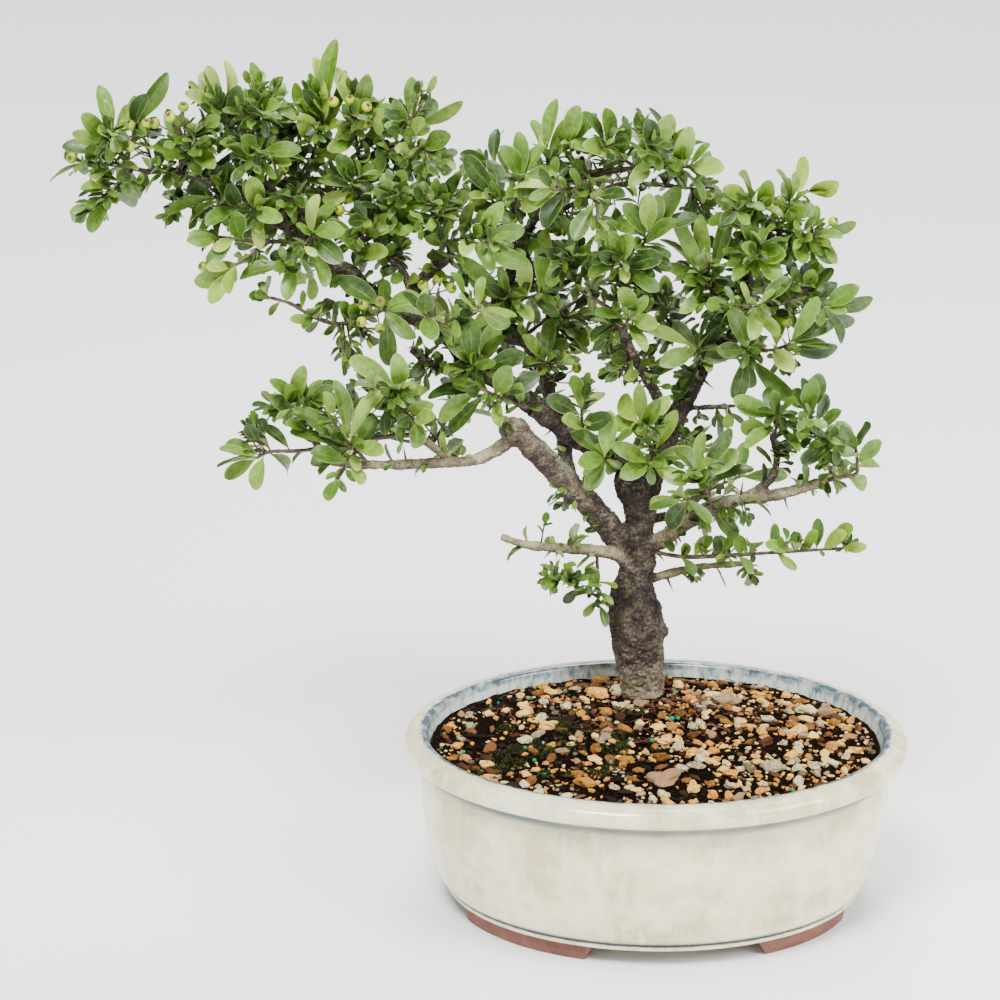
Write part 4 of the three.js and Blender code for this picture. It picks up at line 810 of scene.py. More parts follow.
class Finish:
    """A material and its nodes."""

    def __init__(self, name, roughness=0.5, **sockets):
        self.material = bpy.data.materials.new(name)
        self.material.use_nodes = True
        self.tree = self.material.node_tree
        self.shader = self.tree.nodes["Principled BSDF"]
        self.shader.inputs["Roughness"].default_value = roughness
        for socket, value in sockets.items():
            self.shader.inputs[socket.replace("_", " ")].default_value = value
        self.coords = self.add("ShaderNodeTexCoord").outputs["Object"]

    def add(self, kind, inputs=None, **settings):
        """A new node, with a value or a link for each input that is named."""
        node = self.tree.nodes.new(kind)
        for name, value in settings.items():
            setattr(node, name, value)
        for name, value in (inputs or {}).items():
            if isinstance(value, bpy.types.NodeSocket):
                self.tree.links.new(value, node.inputs[name])
            else:
                node.inputs[name].default_value = value
        return node

    def noise(self, size, detail=3, stretch=None, roughness=0.55):
        """A soft pattern of patches that many millimetres across."""
        coords = self.coords
        if stretch:
            node = self.add("ShaderNodeMapping", {"Vector": coords, "Scale": stretch})
            coords = node.outputs[0]
        inputs = {"Vector": coords, "Scale": per_mm(size), "Detail": detail, "Roughness": roughness}
        return self.add("ShaderNodeTexNoise", inputs).outputs["Fac"]

    def dots(self, size, outer, inner):
        """Dots, one in each cell of that many millimetres, which fade from inner to outer."""
        inputs = {"Vector": self.coords, "Scale": per_mm(size)}
        cells = self.add("ShaderNodeTexVoronoi", inputs, feature="F1").outputs["Distance"]
        return self.span(cells, outer, inner)

    def ramp(self, factor, *stops):
        """A colour that follows the factor through stops of (place, sRGB hex or a colour)."""
        node = self.add("ShaderNodeValToRGB", {"Fac": factor})
        elements = node.color_ramp.elements
        while len(elements) < len(stops):
            elements.new(0.5)
        for element, (at, code) in zip(elements, stops):
            element.position = at
            element.color = srgb(code) if isinstance(code, int) else code
        return node.outputs["Color"]

    def span(self, value, low, high, to_low=0.0, to_high=1.0):
        """The value's place between low and high, held to the ends."""
        inputs = {"Value": value, 1: low, 2: high, 3: to_low, 4: to_high}
        return self.add("ShaderNodeMapRange", inputs).outputs[0]

    def math(self, operation, *values):
        """A sum, product or the like of values and links."""
        return self.add("ShaderNodeMath", dict(enumerate(values)), operation=operation).outputs[0]

    def product(self, one, other):
        """One value times another."""
        return self.math("MULTIPLY", one, other)

    def band(self, value, below, low, high, above):
        """1 where the value lies from low to high, fading to 0 below and above."""
        return self.product(self.span(value, below, low), self.span(value, above, high))

    def mix(self, factor, one, other):
        """A colour between two, each an sRGB hex number or a link."""
        inputs = {0: factor}
        for socket, colour in ((6, one), (7, other)):
            inputs[socket] = srgb(colour) if isinstance(colour, int) else colour
        return self.add("ShaderNodeMix", inputs, data_type="RGBA").outputs[2]

    def tint(self, colour, mask, share, other):
        """The colour, turned to the other by that share where the mask is."""
        return self.mix(self.product(mask, share), colour, other)

    def axis(self, name):
        """One object coordinate in metres."""
        return self.add("ShaderNodeSeparateXYZ", {0: self.coords}).outputs[name]

    def oval_distance(self, squash):
        """Metres from the pot's axis, with the pot's long way squashed."""
        shift = (-squash * MIDDLE.x, -MIDDLE.y, 0)
        inputs = {"Vector": self.coords, "Location": shift, "Scale": (squash, 1, 0)}
        flat = self.add("ShaderNodeMapping", inputs).outputs[0]
        return self.add("ShaderNodeVectorMath", {0: flat}, operation="LENGTH").outputs["Value"]

    def blade(self):
        """How far a spot of a leaf lies from its midrib, and how far along its length."""
        chart = self.add("ShaderNodeUVMap", uv_map="chart").outputs[0]
        split = self.add("ShaderNodeSeparateXYZ", {0: chart}).outputs
        return self.math("ABSOLUTE", self.math("SUBTRACT", split["X"], 0.5)), split["Y"]

    def tone(self, pattern, spread, low=0.3, high=0.7):
        """The tone that the piece's mesh carries, spread a little by a pattern."""
        tone = self.add("ShaderNodeAttribute", attribute_name="tone").outputs["Fac"]
        return self.math("ADD", tone, self.span(pattern, low, high, -spread, spread))

    def bump(self, height, depth, strength=1.0):
        """Relief of that many millimetres, over what relief there is already."""
        inputs = {"Height": height, "Distance": depth * MM, "Strength": strength}
        before = self.shader.inputs["Normal"].links
        if before:
            inputs["Normal"] = before[0].from_socket
        node = self.add("ShaderNodeBump", inputs)
        self.tree.links.new(node.outputs[0], self.shader.inputs["Normal"])

    def set(self, socket, value):
        """Links a value to the shader and returns the finished material."""
        self.tree.links.new(value, self.shader.inputs[socket])
        return self.material


def glaze(cream):
    """Pale celadon glaze: cream with faint runs and specks, blue-grey where it pools or breaks."""
    look = Finish("celadon_glaze", 0.17, Coat_Weight=0.35, Coat_Roughness=0.06)
    z = look.axis("Z")
    runs = look.noise(7, 4, stretch=(1, 1, 0.3))
    clouds = look.noise(32, 4)
    colour = look.ramp(clouds, (0.38, 0xCDC193), (0.49, 0xE6DBAF), (0.59, cream), (0.7, 0xE6D7A6))
    colour = look.mix(look.span(runs, 0.5, 0.68, 0, 0.5), colour, 0xF8F3D8)
    colour = look.mix(look.span(look.noise(15, 5), 0.52, 0.7, 0, 0.55), colour, 0xB9BE9E)
    # Painted shade under the lip: a band there is turned to a dull grey-green.
    under_lip_shade = look.band(z, 0.08, 0.0965, 0.098, 0.101)
    colour = look.tint(colour, under_lip_shade, 0.6, 0x8F907A)
    # Painted shade in the crease under the lip: a dark blue-grey line, broken into patches by the
    # noise below.
    crease_shade = look.band(z, 0.0905, 0.0938, 0.0975, 0.099)
    worn = look.span(look.noise(60, 3), 0.36, 0.6, 0.6, 0.95)
    colour = look.tint(colour, crease_shade, worn, 0x3E5058)
    ragged = look.math("MULTIPLY_ADD", look.noise(7, 4), 0.004, look.oval_distance(0.765))
    inner = look.product(look.span(ragged, 0.1135, 0.1085), look.span(z, 0.098, 0.1))
    streaks = look.noise(4.5, 5, stretch=(1, 1, 0.35), roughness=0.65)
    teal = look.ramp(streaks, (0.3, 0x3A5464), (0.41, 0x98AEB2), (0.52, 0xCCD6CC), (0.7, 0xE2E6D6))
    colour = look.tint(colour, inner, 0.95, teal)
    crest = look.band(ragged, 0.1058, 0.1076, 0.1096, 0.1108)
    crest = look.product(crest, look.span(z, 0.1055, 0.1075))
    broken = look.span(look.noise(9, 4), 0.36, 0.54, 0.45, 0.95)
    colour = look.tint(colour, crest, broken, 0x2A4254)
    groove = look.band(z, 0.0085, 0.0095, 0.0104, 0.0112)
    colour = look.mix(groove, colour, 0x34485A)
    ragged_z = look.math("MULTIPLY_ADD", look.noise(4, 4), 0.0016, z)
    seam = look.band(ragged_z, 0.0142, 0.015, 0.0172, 0.0198)
    colour = look.tint(colour, seam, 0.95, 0x334653)
    rare = look.math("GREATER_THAN", look.noise(3, 0), 0.53)
    specks = look.product(look.dots(3.2, 0.14, 0.07), rare)
    colour = look.tint(colour, specks, 0.75, 0x7C7054)
    look.bump(clouds, 0.25, 0.5)
    look.bump(runs, 0.05, 0.4)
    return look.set("Base Color", colour)


def clay():
    """Bare fired clay: matt pinkish brown with a sandy grain and darker smudges."""
    look = Finish("bare_clay", 0.88)
    grain = look.noise(0.6, 4)
    colour = look.ramp(look.noise(14, 4), (0.3, 0x6C463B), (0.55, 0x83594C), (0.75, 0x976E60))
    colour = look.mix(look.span(grain, 0.55, 0.75, 0, 0.45), colour, 0x50332A)
    look.bump(grain, 0.12)
    return look.set("Base Color", colour)


def plastic_mesh():
    """Dark green drainage mesh of dull plastic."""
    look = Finish("green_plastic_mesh", 0.55)
    look.bump(look.noise(0.8), 0.03)
    return look.set("Base Color", look.ramp(look.noise(6), (0.3, 0x24402F), (0.7, 0x35563F)))


def humus():
    """The fine black-brown part of the soil between the pebbles."""
    look = Finish("bark_soil", 1.0, Specular_IOR_Level=0.05)
    fine = look.noise(1.6, 7, roughness=0.75)
    colour = look.ramp(fine, (0.34, 0x030201), (0.5, 0x0E0804), (0.62, 0x2C1B0E), (0.76, 0x5C3A1E))
    look.bump(fine, 2.2)
    return look.set("Base Color", colour)


def bits(name, roughness, grain, relief, *stops):
    """Loose bits of one kind, each bit in the colour of its tone, mottled by its grain."""
    look = Finish(name, roughness, Specular_IOR_Level=0.2)
    mottle = look.noise(grain, 5)
    colour = look.ramp(look.tone(mottle, 0.09), *stops)
    colour = look.mix(look.span(mottle, 0.55, 0.75, 0, 0.5), colour, 0x2E2218)
    look.bump(mottle, relief)
    return look.set("Base Color", colour)


def bark():
    """Firethorn bark: grey-brown and pitted, darker and purplish low down, with lichen and moss."""
    look = Finish("firethorn_bark", 0.88, Specular_IOR_Level=0.2)
    z = look.axis("Z")
    broad = look.noise(13, 5)
    fine = look.product(look.noise(1.5, 7, roughness=0.72), 0.68)
    fine = look.math("MULTIPLY_ADD", look.noise(6, 5, roughness=0.6), 0.32, fine)
    rings = look.noise(6, 5, stretch=(0.35, 0.35, 2.2))
    tone = look.tone(look.noise(24, 4), 0.22, 0.34, 0.66)
    dark = look.ramp(fine, (0.3, 0x0A0707), (0.5, 0x251C1C), (0.62, 0x443938), (0.74, 0x7A6F66))
    grey = look.ramp(fine, (0.3, 0x1F1816), (0.5, 0x554A41), (0.62, 0x7E7263), (0.74, 0xACA086))
    pale = look.ramp(fine, (0.3, 0x5E543E), (0.5, 0x8F8466), (0.64, 0xB2A785), (0.78, 0xD0C8A6))
    colour = look.mix(look.span(tone, 0, 0.5), dark, grey)
    colour = look.mix(look.span(tone, 0.5, 1), colour, pale)
    normal = look.add("ShaderNodeNewGeometry").outputs["Normal"]
    facing_up = look.add("ShaderNodeSeparateXYZ", {0: normal}).outputs["Z"]
    # Lichen and painted top light: pale grey-green where the faces look up.
    lichen_and_top_light = look.product(look.span(facing_up, 0.05, 0.8), look.span(broad, 0.44, 0.6))
    lichen_and_top_light = look.product(lichen_and_top_light, look.span(fine, 0.36, 0.56))
    lichen_and_top_light = look.product(lichen_and_top_light, look.span(z, 0.17, 0.2))
    colour = look.tint(colour, lichen_and_top_light, 0.65, 0x9FA07E)
    rosy = look.product(look.span(z, 0.137, 0.122), look.span(fine, 0.42, 0.58))
    colour = look.tint(colour, rosy, 0.6, 0x9E8A80)
    stains = look.span(look.noise(9, 5, roughness=0.65), 0.48, 0.4)
    colour = look.tint(colour, stains, 0.4, 0x1E1718)
    # Painted shade: faces that look down are darkened towards a purplish black.
    colour = look.tint(colour, look.span(facing_up, 0.1, -0.7), 0.5, 0x1E1719)
    moss = look.product(look.span(look.noise(6, 5), 0.55, 0.63), look.span(z, 0.24, 0.15))
    colour = look.tint(colour, moss, 0.65, 0x4C5226)
    pits = look.product(look.dots(3.6, 0.2, 0.08), look.span(broad, 0.46, 0.56))
    colour = look.tint(colour, pits, 0.6, 0x1A1413)
    colour = look.mix(look.span(rings, 0.58, 0.74, 0, 0.35), colour, 0x2A2221)
    look.bump(broad, 1.5, 0.8)
    look.bump(rings, 0.9, 0.7)
    look.bump(fine, 0.8, 0.9)
    look.bump(look.math("SUBTRACT", 1.0, pits), 0.4)
    return look.set("Base Color", colour)


def twig_bark():
    """Young bark: smooth and reddish brown, greener towards the tips, with pale pores."""
    look = Finish("young_bark", 0.55)
    colour = look.ramp(look.noise(7, 4), (0.3, 0x2E1F1C), (0.5, 0x4A382C), (0.7, 0x6B6040))
    colour = look.tint(colour, look.dots(1.6, 0.16, 0.08), 0.4, 0x9A8C74)
    look.bump(look.noise(1.1, 4), 0.15)
    return look.set("Base Color", colour)


def cut_wood():
    """A healed cut: grey weathered wood with dark rings and cracks."""
    look = Finish("cut_wood", 0.9)
    # Painted shade for the hollow of the cut: the wood's colours are kept very dark.
    colour = look.ramp(look.noise(2, 5), (0.3, 0x0E0A09), (0.5, 0x241C19), (0.72, 0x4E443D))
    look.bump(look.noise(1.2, 5), 0.5)
    return look.set("Base Color", colour)


def leaf_top(name, dark, middle, light):
    """A leaf's glossy upper face: its tone, pale midrib and thin margin, and faint side veins."""
    look = Finish(name, 0.4, Specular_IOR_Level=0.45)
    aside, along = look.blade()
    mottle = look.noise(3.5, 4)
    colour = look.ramp(look.tone(mottle, 0.12), (0.1, dark), (0.5, middle), (0.95, light))
    slant = look.math("MULTIPLY_ADD", aside, -7.0, look.product(along, 11.0))
    vein = look.span(look.math("PINGPONG", slant, 0.5), 0.07, 0.0)
    colour = look.tint(colour, vein, 0.1, light)
    colour = look.mix(look.span(along, 0.35, 0.05, 0, 0.35), colour, light)
    rib = look.product(look.span(aside, 0.03, 0.008), look.span(along, 0.95, 0.3))
    colour = look.tint(colour, rib, 0.6, 0xA8B46A)
    colour = look.tint(colour, look.span(aside, 0.462, 0.49), 0.6, 0xBCC680)
    spots = look.product(look.dots(7, 0.1, 0.05), look.span(mottle, 0.5, 0.6))
    colour = look.tint(colour, spots, 0.7, 0x6A5A30)
    look.bump(vein, 0.12, 0.5)
    look.bump(mottle, 0.12, 0.5)
    return look.set("Base Color", colour)


def leaf_under(name, dark, light):
    """A leaf's underside: paler and matt, with a raised midrib."""
    look = Finish(name, 0.62)
    aside, _ = look.blade()
    colour = look.ramp(look.tone(look.noise(4, 3), 0.1), (0.1, dark), (0.9, light))
    colour = look.mix(look.span(aside, 0.06, 0.02, 0, 0.6), colour, 0xC3CFA0)
    return look.set("Base Color", colour)


def berry_skin(green):
    """A young berry's waxy skin: yellow-green, greener round the stalk, with fine pale dots."""
    look = Finish("green_berry", 0.4, Coat_Weight=0.1)
    tone = look.tone(look.noise(2.5, 3), 0.2)
    colour = look.ramp(tone, (0.1, 0x526C06), (0.5, green), (0.9, 0xB0BC16))
    colour = look.tint(colour, look.dots(0.9, 0.2, 0.12), 0.2, 0xBCC43C)
    return look.set("Base Color", colour)


def calyx_brown():
    """The dry brown star at a berry's end."""
    look = Finish("dry_calyx", 0.85)
    return look.set("Base Color", look.ramp(look.noise(0.8), (0.3, 0x2A190F), (0.7, 0x6A4426)))


def spun(profile, steps):
    """A profile of (radius, height) turned about Z."""
    bm = bmesh.new()
    columns = []
    for step in range(steps):
        cos, sin = math.cos(FULL_TURN * step / steps), math.sin(FULL_TURN * step / steps)
        columns.append([bm.verts.new((r * cos, r * sin, height)) for r, height in profile])
    for column, after in zip(columns, columns[1:] + columns[:1]):
        for a, b, c, d in zip(column, after, after[1:], column[1:]):
            bm.faces.new((a, b, c, d))
    bmesh.ops.remove_doubles(bm, verts=bm.verts, dist=1e-3)
    return bm


def lathed(profile, steps):
    """A profile turned about Z and drawn out along X to the pot's oval."""
    bm = spun(profile, steps)
    for vert in bm.verts:
        radius = math.hypot(vert.co.x, vert.co.y)
        if radius > 0.01:
            vert.co.x *= 1 + OVAL / radius
    return bm


def from_bmesh(name, bm):
    """An object in the part's frame from a bmesh in millimetres."""
    points, faces = drawn(bm)
    mesh = bpy.data.meshes.new(name)
    mesh.from_pydata(to_row(points), [], faces)
    return linked(name, mesh)


def wedge(middle, half, turn):
    """The cutter of a foot gap: a bar with sloping ends that runs right under the pot."""
    bm = bmesh.new()
    bmesh.ops.create_cube(bm, size=2)
    for vert in bm.verts:
        low = vert.co.z < 0
        reach = half + FOOT_SLANT if low else half - FOOT_SLANT
        vert.co = (middle + vert.co.x * reach, vert.co.y * 240, -1 if low else 18)
    bmesh.ops.rotate(bm, verts=bm.verts, cent=(0, 0, 0), matrix=Matrix.Rotation(turn, 3, "Z"))
    return from_bmesh("cutter", bm)


def cut_by(thing, cutters):
    """The object less the cutters, which are then removed."""
    for cutter in cutters:
        modifier = thing.modifiers.new("cut", "BOOLEAN")
        modifier.operation = "DIFFERENCE"
        modifier.solver = "EXACT"
        modifier.object = cutter
    baked(thing)
    for cutter in cutters:
        bpy.data.objects.remove(cutter)
    return thing


# The pot's outer face from the underside up, then the lip and the inner face down to the floor,
# each point as how far it lies inside the pot's widest line, and its height.
POT_PROFILE = [
    (31, 9), (28.9, 9.2), (28.3, 10.2), (27.2, 10.3), (25.8, 10.7), (24.8, 11.8), (24.4, 13.2),
    (24.7, 14.3), (25, 15), (24.4, 15.7), (22.6, 16.4), (21.2, 18.6), (19.4, 23), (17.5, 28.6),
    (14.8, 39), (12.5, 50), (11.2, 62), (10.3, 75), (9.6, 87), (9.3, 94), (8.9, 96), (7.9, 97.3),
    (6.2, 98), (4, 98.4), (2, 99.3), (0.8, 100.6), (0.15, 102.4), (0, 104.4), (0.3, 106.4),
    (1.4, 108.3), (3.4, 109.7), (6, 110.6), (9, 111), (11.4, 111.1), (13, 110.6), (14, 109.4),
    (14.5, 107), (15.4, 103), (17, 98), (18.5, 75), (21, 48), (24, 34), (27.5, 26), (31, 22),
    (35, 20),
]
INSIDE_POINTS = 9


def build_pot(settings):
    """The glazed body, its four bare clay feet and its two drain holes."""
    points = [(POT_HALF_WIDTH - inset, height) for inset, height in POT_PROFILE]
    profile = [(0, UNDERSIDE_Z), *points, (0, FLOOR_Z)]
    body = from_bmesh("pot_body", lathed(profile, settings.steps))
    drains = []
    for x in (-DRAIN_X, DRAIN_X):
        bm = bmesh.new()
        bmesh.ops.create_cone(
            bm, cap_ends=True, segments=32, radius1=DRAIN_RADIUS, radius2=DRAIN_RADIUS, depth=60,
            matrix=Matrix.Translation((x, 0, DRAIN_MIDDLE_Z)),
        )
        drains.append(from_bmesh("cutter", bm))
    cut_by(body, drains)
    finished(body, [glaze(tuple(settings.glaze))], "celadon_glaze", ["pot"])
    inner = FOOT_OUTER - FOOT_BAND
    foot = [
        (inner, 0), (FOOT_OUTER, 0), (FOOT_OUTER + 1, FOOT_TOP), (inner - 2, FOOT_TOP), (inner, 0),
    ]
    feet = from_bmesh("pot_feet", lathed(foot, settings.steps))
    cut_by(feet, [wedge(*FRONT_GAP, 0), wedge(*END_GAP, math.pi / 2)])
    worn = feet.modifiers.new("worn", "BEVEL")
    worn.width = settings.worn_edge
    worn.segments = 3
    worn.limit_method = "ANGLE"
    finished(baked(feet), [clay()], "", ["pot"])


def build_screens(settings):
    """The drainage mesh over each hole: a square lattice of plastic strands."""
    material = plastic_mesh()
    openings = settings.strands
    for x, name in ((-DRAIN_X, "drain_screen_left"), (DRAIN_X, "drain_screen_right")):
        bm = bmesh.new()
        bmesh.ops.create_grid(
            bm, x_segments=openings, y_segments=openings, size=SCREEN_SIZE / 2 - 0.6,
            matrix=Matrix.Translation((x, 0, SCREEN_Z)),
        )
        screen = from_bmesh(name + "_strands", bm)
        strands = screen.modifiers.new("strands", "WIREFRAME")
        strands.thickness = STRAND_M
        finished(baked(screen), [material], "green_plastic_mesh", [name])


def soil_share(x, y):
    """How far out a spot lies on the soil: 0 in the middle, and 1 at the edge."""
    return math.hypot(x / (SOIL_EDGE + OVAL), y / SOIL_EDGE)


def soil_z(x, y):
    """The height of the soil there: a low crown, lumpy at two scales."""
    share = min(1.0, soil_share(x, y))
    at, other = Vector((x, y, 0)), Vector((x, y, 9))
    lumps = noise.noise(at * 0.045) * 1.6 + noise.noise(other * 0.2) * 0.7
    return SOIL_CROWN_Z - (SOIL_CROWN_Z - SOIL_EDGE_Z) * share * share + lumps * (1 - share**6)


def on_soil(x, y, lift):
    """The point that far above the soil there."""
    return Vector((x, y, soil_z(x, y) + lift))


def build_soil(settings):
    """The soil's body, the shape of the pot's inside."""
    wall = [(x, z) for x, z in POT_PROFILE[-INSIDE_POINTS:] if FLOOR_Z < z < SOIL_EDGE_Z]
    side = [(POT_HALF_WIDTH - x - SOIL_GAP, z) for x, z in reversed(wall)]
    rings = settings.rings
    top = [(SOIL_EDGE * (1 - ring / rings), SOIL_EDGE_Z) for ring in range(rings)]
    bm = lathed([(0, SOIL_FOOT_Z), *side, *top, (0, SOIL_EDGE_Z)], settings.steps)
    for vert in bm.verts:
        if vert.co.z > SOIL_EDGE_Z - 0.1:
            vert.co.z = soil_z(vert.co.x, vert.co.y)
            vert.co.z += noise.noise(vert.co * 0.55) * 1.3 + noise.noise(vert.co * 1.7) * 0.5
    finished(from_bmesh("soil_body", bm), [humus()], "bark_soil", ["soil"])


def rock(subdivisions):
    """A ball of small faces with a radius of 1."""
    bm = bmesh.new()
    bmesh.ops.create_icosphere(bm, subdivisions=subdivisions, radius=1)
    return drawn(bm)


def lump(ball, centre, size, shape, seed, rough=0.35):
    """The ball made uneven, stretched to a shape, turned at random and put in place."""
    points = []
    turn = Quaternion((0, 0, 1), FULL_TURN * draw(seed, 1))
    tilt = Quaternion((1, 0, 0), 0.6 * (draw(seed, 2) - 0.5))
    for point in ball:
        at = Vector(point)
        at *= 1 + rough * noise.noise(at * 1.1 + Vector((seed * 0.37, seed * 0.11, 0)))
        at = Vector((at.x * shape[0], at.y * shape[1], at.z * shape[2])) * size
        points.append(centre + turn @ (tilt @ at))
    return points


def soil_cell(x, y):
    """The cell of the soil that a spot lies in, for finding its neighbours."""
    return round(x / STONE_CELL), round(y / STONE_CELL)


def strewn(number, low, high, seed, lean, taken):
    """Spots on the soil with a radius each, clear of the ones there are, denser on one side."""
    spots = []
    trunk = place(*TRUNK_FOOT)
    for i in range(number * 3):
        size = low + (high - low) * draw(seed, i, 1) ** 1.7
        reach = math.sqrt(draw(seed, i, 2)) * (1 - (size + 1) / SOIL_EDGE)
        turn = FULL_TURN * draw(seed, i, 3)
        x = math.cos(turn) * reach * (SOIL_EDGE + OVAL)
        y = math.sin(turn) * reach * SOIL_EDGE
        patches = noise.noise(Vector((x, y, seed)) * 0.045)
        if draw(seed, i, 4) > 0.42 + lean * x / 150 + 0.8 * patches + 0.3 * lean * (reach - 0.5):
            continue
        if math.hypot(x - trunk.x, y - trunk.y) < TRUNK_ROOM + size:
            continue
        column, row = soil_cell(x, y)
        near = [spot for dx in (-1, 0, 1) for dy in (-1, 0, 1)
                for spot in taken.get((column + dx, row + dy), [])]
        if any(math.hypot(x - a, y - b) < STONE_OVERLAP * (size + c) for a, b, c in near):
            continue
        taken.setdefault((column, row), []).append((x, y, size))
        spots.append((x, y, size))
        if len(spots) == number:
            break
    return spots


def lay(name, look, spots, sit, ball_for, shape, tone, seed, rough, smooth_below):
    """Lumps on the soil as one piece, each with the shape and tone for its number."""
    pile = Pile()
    for i, (x, y, size) in enumerate(spots):
        ball, faces = ball_for(size)
        points = lump(ball, on_soil(x, y, sit * size), size, shape(i), seed + i, rough)
        pile.add(points, faces, tone(i))
    pile.piece(name, [look], slot="bark_soil", smooth_below=smooth_below)


def build_stones(settings):
    """The larger stones, the gravel, the bark bits and the feed grains on the soil."""
    gravel = bits(
        "gravel", 0.75, 1.4, 0.25,
        (0.04, 0x46290F), (0.16, 0x8E5E22), (0.3, 0xD0953A), (0.44, 0xE4C67A), (0.56, 0xC97C24),
        (0.7, 0x746C58), (0.84, 0xDCCB98), (0.95, 0x524A36),
    )
    prills = bits("feed_grains", 0.4, 2, 0.02, (0.0, 0x03683F), (0.4, 0x109866), (0.8, 0xC98F1C))
    bark_bits = bits(
        "bark_bits", 0.92, 1, 0.4,
        (0.1, 0x080402), (0.4, 0x180D06), (0.7, 0x341D0E), (0.95, 0x6E4826),
    )
    balls = [None, rock(1), rock(2)]
    taken = {}
    big = Pile()
    ball, faces = rock(4)
    for i, (x, y, size, tone) in enumerate(STONES):
        centre = Vector((x, y, SOIL_CROWN_Z - 0.5))
        big.add(lump(ball, centre, 0.86 * size, (1, 0.72, 0.5), 700 + i, 0.5), faces, tone)
        taken.setdefault(soil_cell(x, y), []).append((x, y, size))
    big.piece("large_stones", [gravel], slot="bark_soil", replaces=["soil"], smooth_below=50)

    lay("gravel", gravel, strewn(settings.pebbles, 1.0, 4.6, 71, 0.38, taken), 0.25,
        lambda size: balls[2 if size > 2.4 else 1],
        lambda i: (1.1, 0.6 + 0.3 * draw(72, i), 0.45 + 0.25 * draw(73, i)),
        lambda i: draw(74, i), 7000, 0.75, 24)
    lay("feed_grains", prills, strewn(settings.grains, 1.1, 1.7, 81, -0.5, taken), 0.7,
        lambda size: balls[2], lambda i: (1, 1, 0.95),
        lambda i: 0.9 if draw(82, i) > 0.85 else 0.4 * draw(83, i), 8000, 0.15, 40)
    lay("bark_bits", bark_bits, strewn(settings.chips, 1.2, 5.5, 91, -0.1, taken), 0.2,
        lambda size: balls[1], lambda i: (1.2, 0.5 + 0.3 * draw(92, i), 0.35),
        lambda i: draw(93, i), 9000, 0.8, 20)


def fibre(i, trunk):
    """A root fibre that winds over the soil near the trunk."""
    reach = 15 + 95 * draw(61, i) ** 1.3
    turn = FULL_TURN * draw(62, i)
    x = trunk.x + 14 + reach * math.cos(turn) * 1.2
    y = trunk.y - 12 + reach * math.sin(turn) * 0.8
    way = FULL_TURN * draw(63, i)
    length = 8 + 26 * draw(64, i)
    thick = 0.22 + 0.45 * draw(65, i) ** 2.5
    route = []
    for step in range(FIBRE_STEPS):
        if soil_share(x, y) > 0.97:
            break
        lift = 1.6 + 1.2 * math.sin(step * 0.9 + i)
        route.append((on_soil(x, y, lift), thick * (1 - 0.08 * step)))
        x += math.cos(way) * length / FIBRE_STEPS
        y += math.sin(way) * length / FIBRE_STEPS
        way += 0.9 * (draw(66, i, step) - 0.5)
    return route


def build_fibres(settings):
    """Root fibres and stalks that lie on the soil, most of them round and right of the trunk."""
    routes = [fibre(i, place(*TRUNK_FOOT)) for i in range(settings.fibres)]
    look = Finish("root_fibre", 0.8)
    colour = look.ramp(look.noise(20, 3), (0.3, 0x2B150C), (0.52, 0x5A2E18), (0.72, 0x94683E))
    thing = tubes("root_fibres", [route for route in routes if len(route) > 2], 1)
    finished(thing, [look.set("Base Color", colour)], "bark_soil")


def build_moss(settings):
    """Moss on the soil's left and at the trunk's foot: cushions of tiny pointed shoots."""
    bm = bmesh.new()
    bmesh.ops.create_cone(bm, cap_ends=True, segments=3, radius1=0.45, radius2=0.05, depth=1)
    spike, faces = drawn(bm)
    moss = Pile()
    for i in range(settings.moss):
        patch = i % MOSS_PATCHES
        x = -118 + 105 * draw(51, patch) ** 0.8
        y = -55 + 95 * draw(52, patch)
        spread = 3 + 9 * draw(53, patch)
        turn = FULL_TURN * draw(54, i)
        reach = spread * math.sqrt(draw(55, i))
        x += math.cos(turn) * reach
        y += math.sin(turn) * reach
        if soil_share(x, y) > 0.95:
            continue
        tall = 0.7 + 0.8 * draw(56, i)
        tilt = Quaternion((math.cos(turn), math.sin(turn), 0), 0.7 * (draw(57, i) - 0.5))
        centre = on_soil(x, y, 1.1 * (1 - (reach / spread) ** 2))
        points = [centre + tilt @ Vector((a, b, (c + 0.5) * tall)) for a, b, c in spike]
        moss.add(points, faces, draw(58, i))
    green = bits("moss", 0.95, 3, 0.1, (0.1, 0x070D03), (0.5, 0x17230A), (0.9, 0x424F18))
    moss.piece("moss", [green], slot="bark_soil")


def route_of(points):
    """Route points as (place, radius)."""
    return [(place(*point[:3]), point[3]) for point in points]


def smooth_route(route, step=2.5):
    """The route with points about a step apart on a smooth curve through its own points."""
    dense = []
    last = len(route) - 1
    for i in range(last):
        (a, _), (b, r), (c, s), (d, _) = (
            route[max(i - 1, 0)], route[i], route[i + 1], route[min(i + 2, last)]
        )
        count = max(1, round((c - b).length / step))
        for j in range(count):
            t = j / count
            at = 0.5 * (
                2 * b + (c - a) * t + (2 * a - 5 * b + 4 * c - d) * t * t
                + (3 * b - a - 3 * c + d) * t**3
            )
            dense.append((at, r + (s - r) * t))
    return [*dense, route[-1]]


def tubes(name, routes, ring):
    """An object of round closed tubes along routes, with 4 + 2 x ring sides."""
    curve = bpy.data.curves.new(name, "CURVE")
    curve.dimensions = "3D"
    curve.bevel_depth = MM
    curve.bevel_resolution = ring
    curve.use_fill_caps = True
    for route in routes:
        line = curve.splines.new("POLY")
        line.points.add(len(route) - 1)
        for spot, (point, radius) in zip(line.points, route):
            spot.co = (*to_row(point), 1)
            spot.radius = radius
    thing = linked(name, curve)
    mesh = final_mesh(thing)
    bpy.data.objects.remove(thing)
    bm = bmesh.new()
    bm.from_mesh(mesh)
    bmesh.ops.remove_doubles(bm, verts=bm.verts, dist=1e-6)
    bmesh.ops.recalc_face_normals(bm, faces=bm.faces)
    bm.to_mesh(mesh)
    bm.free()
    return linked(name, mesh)


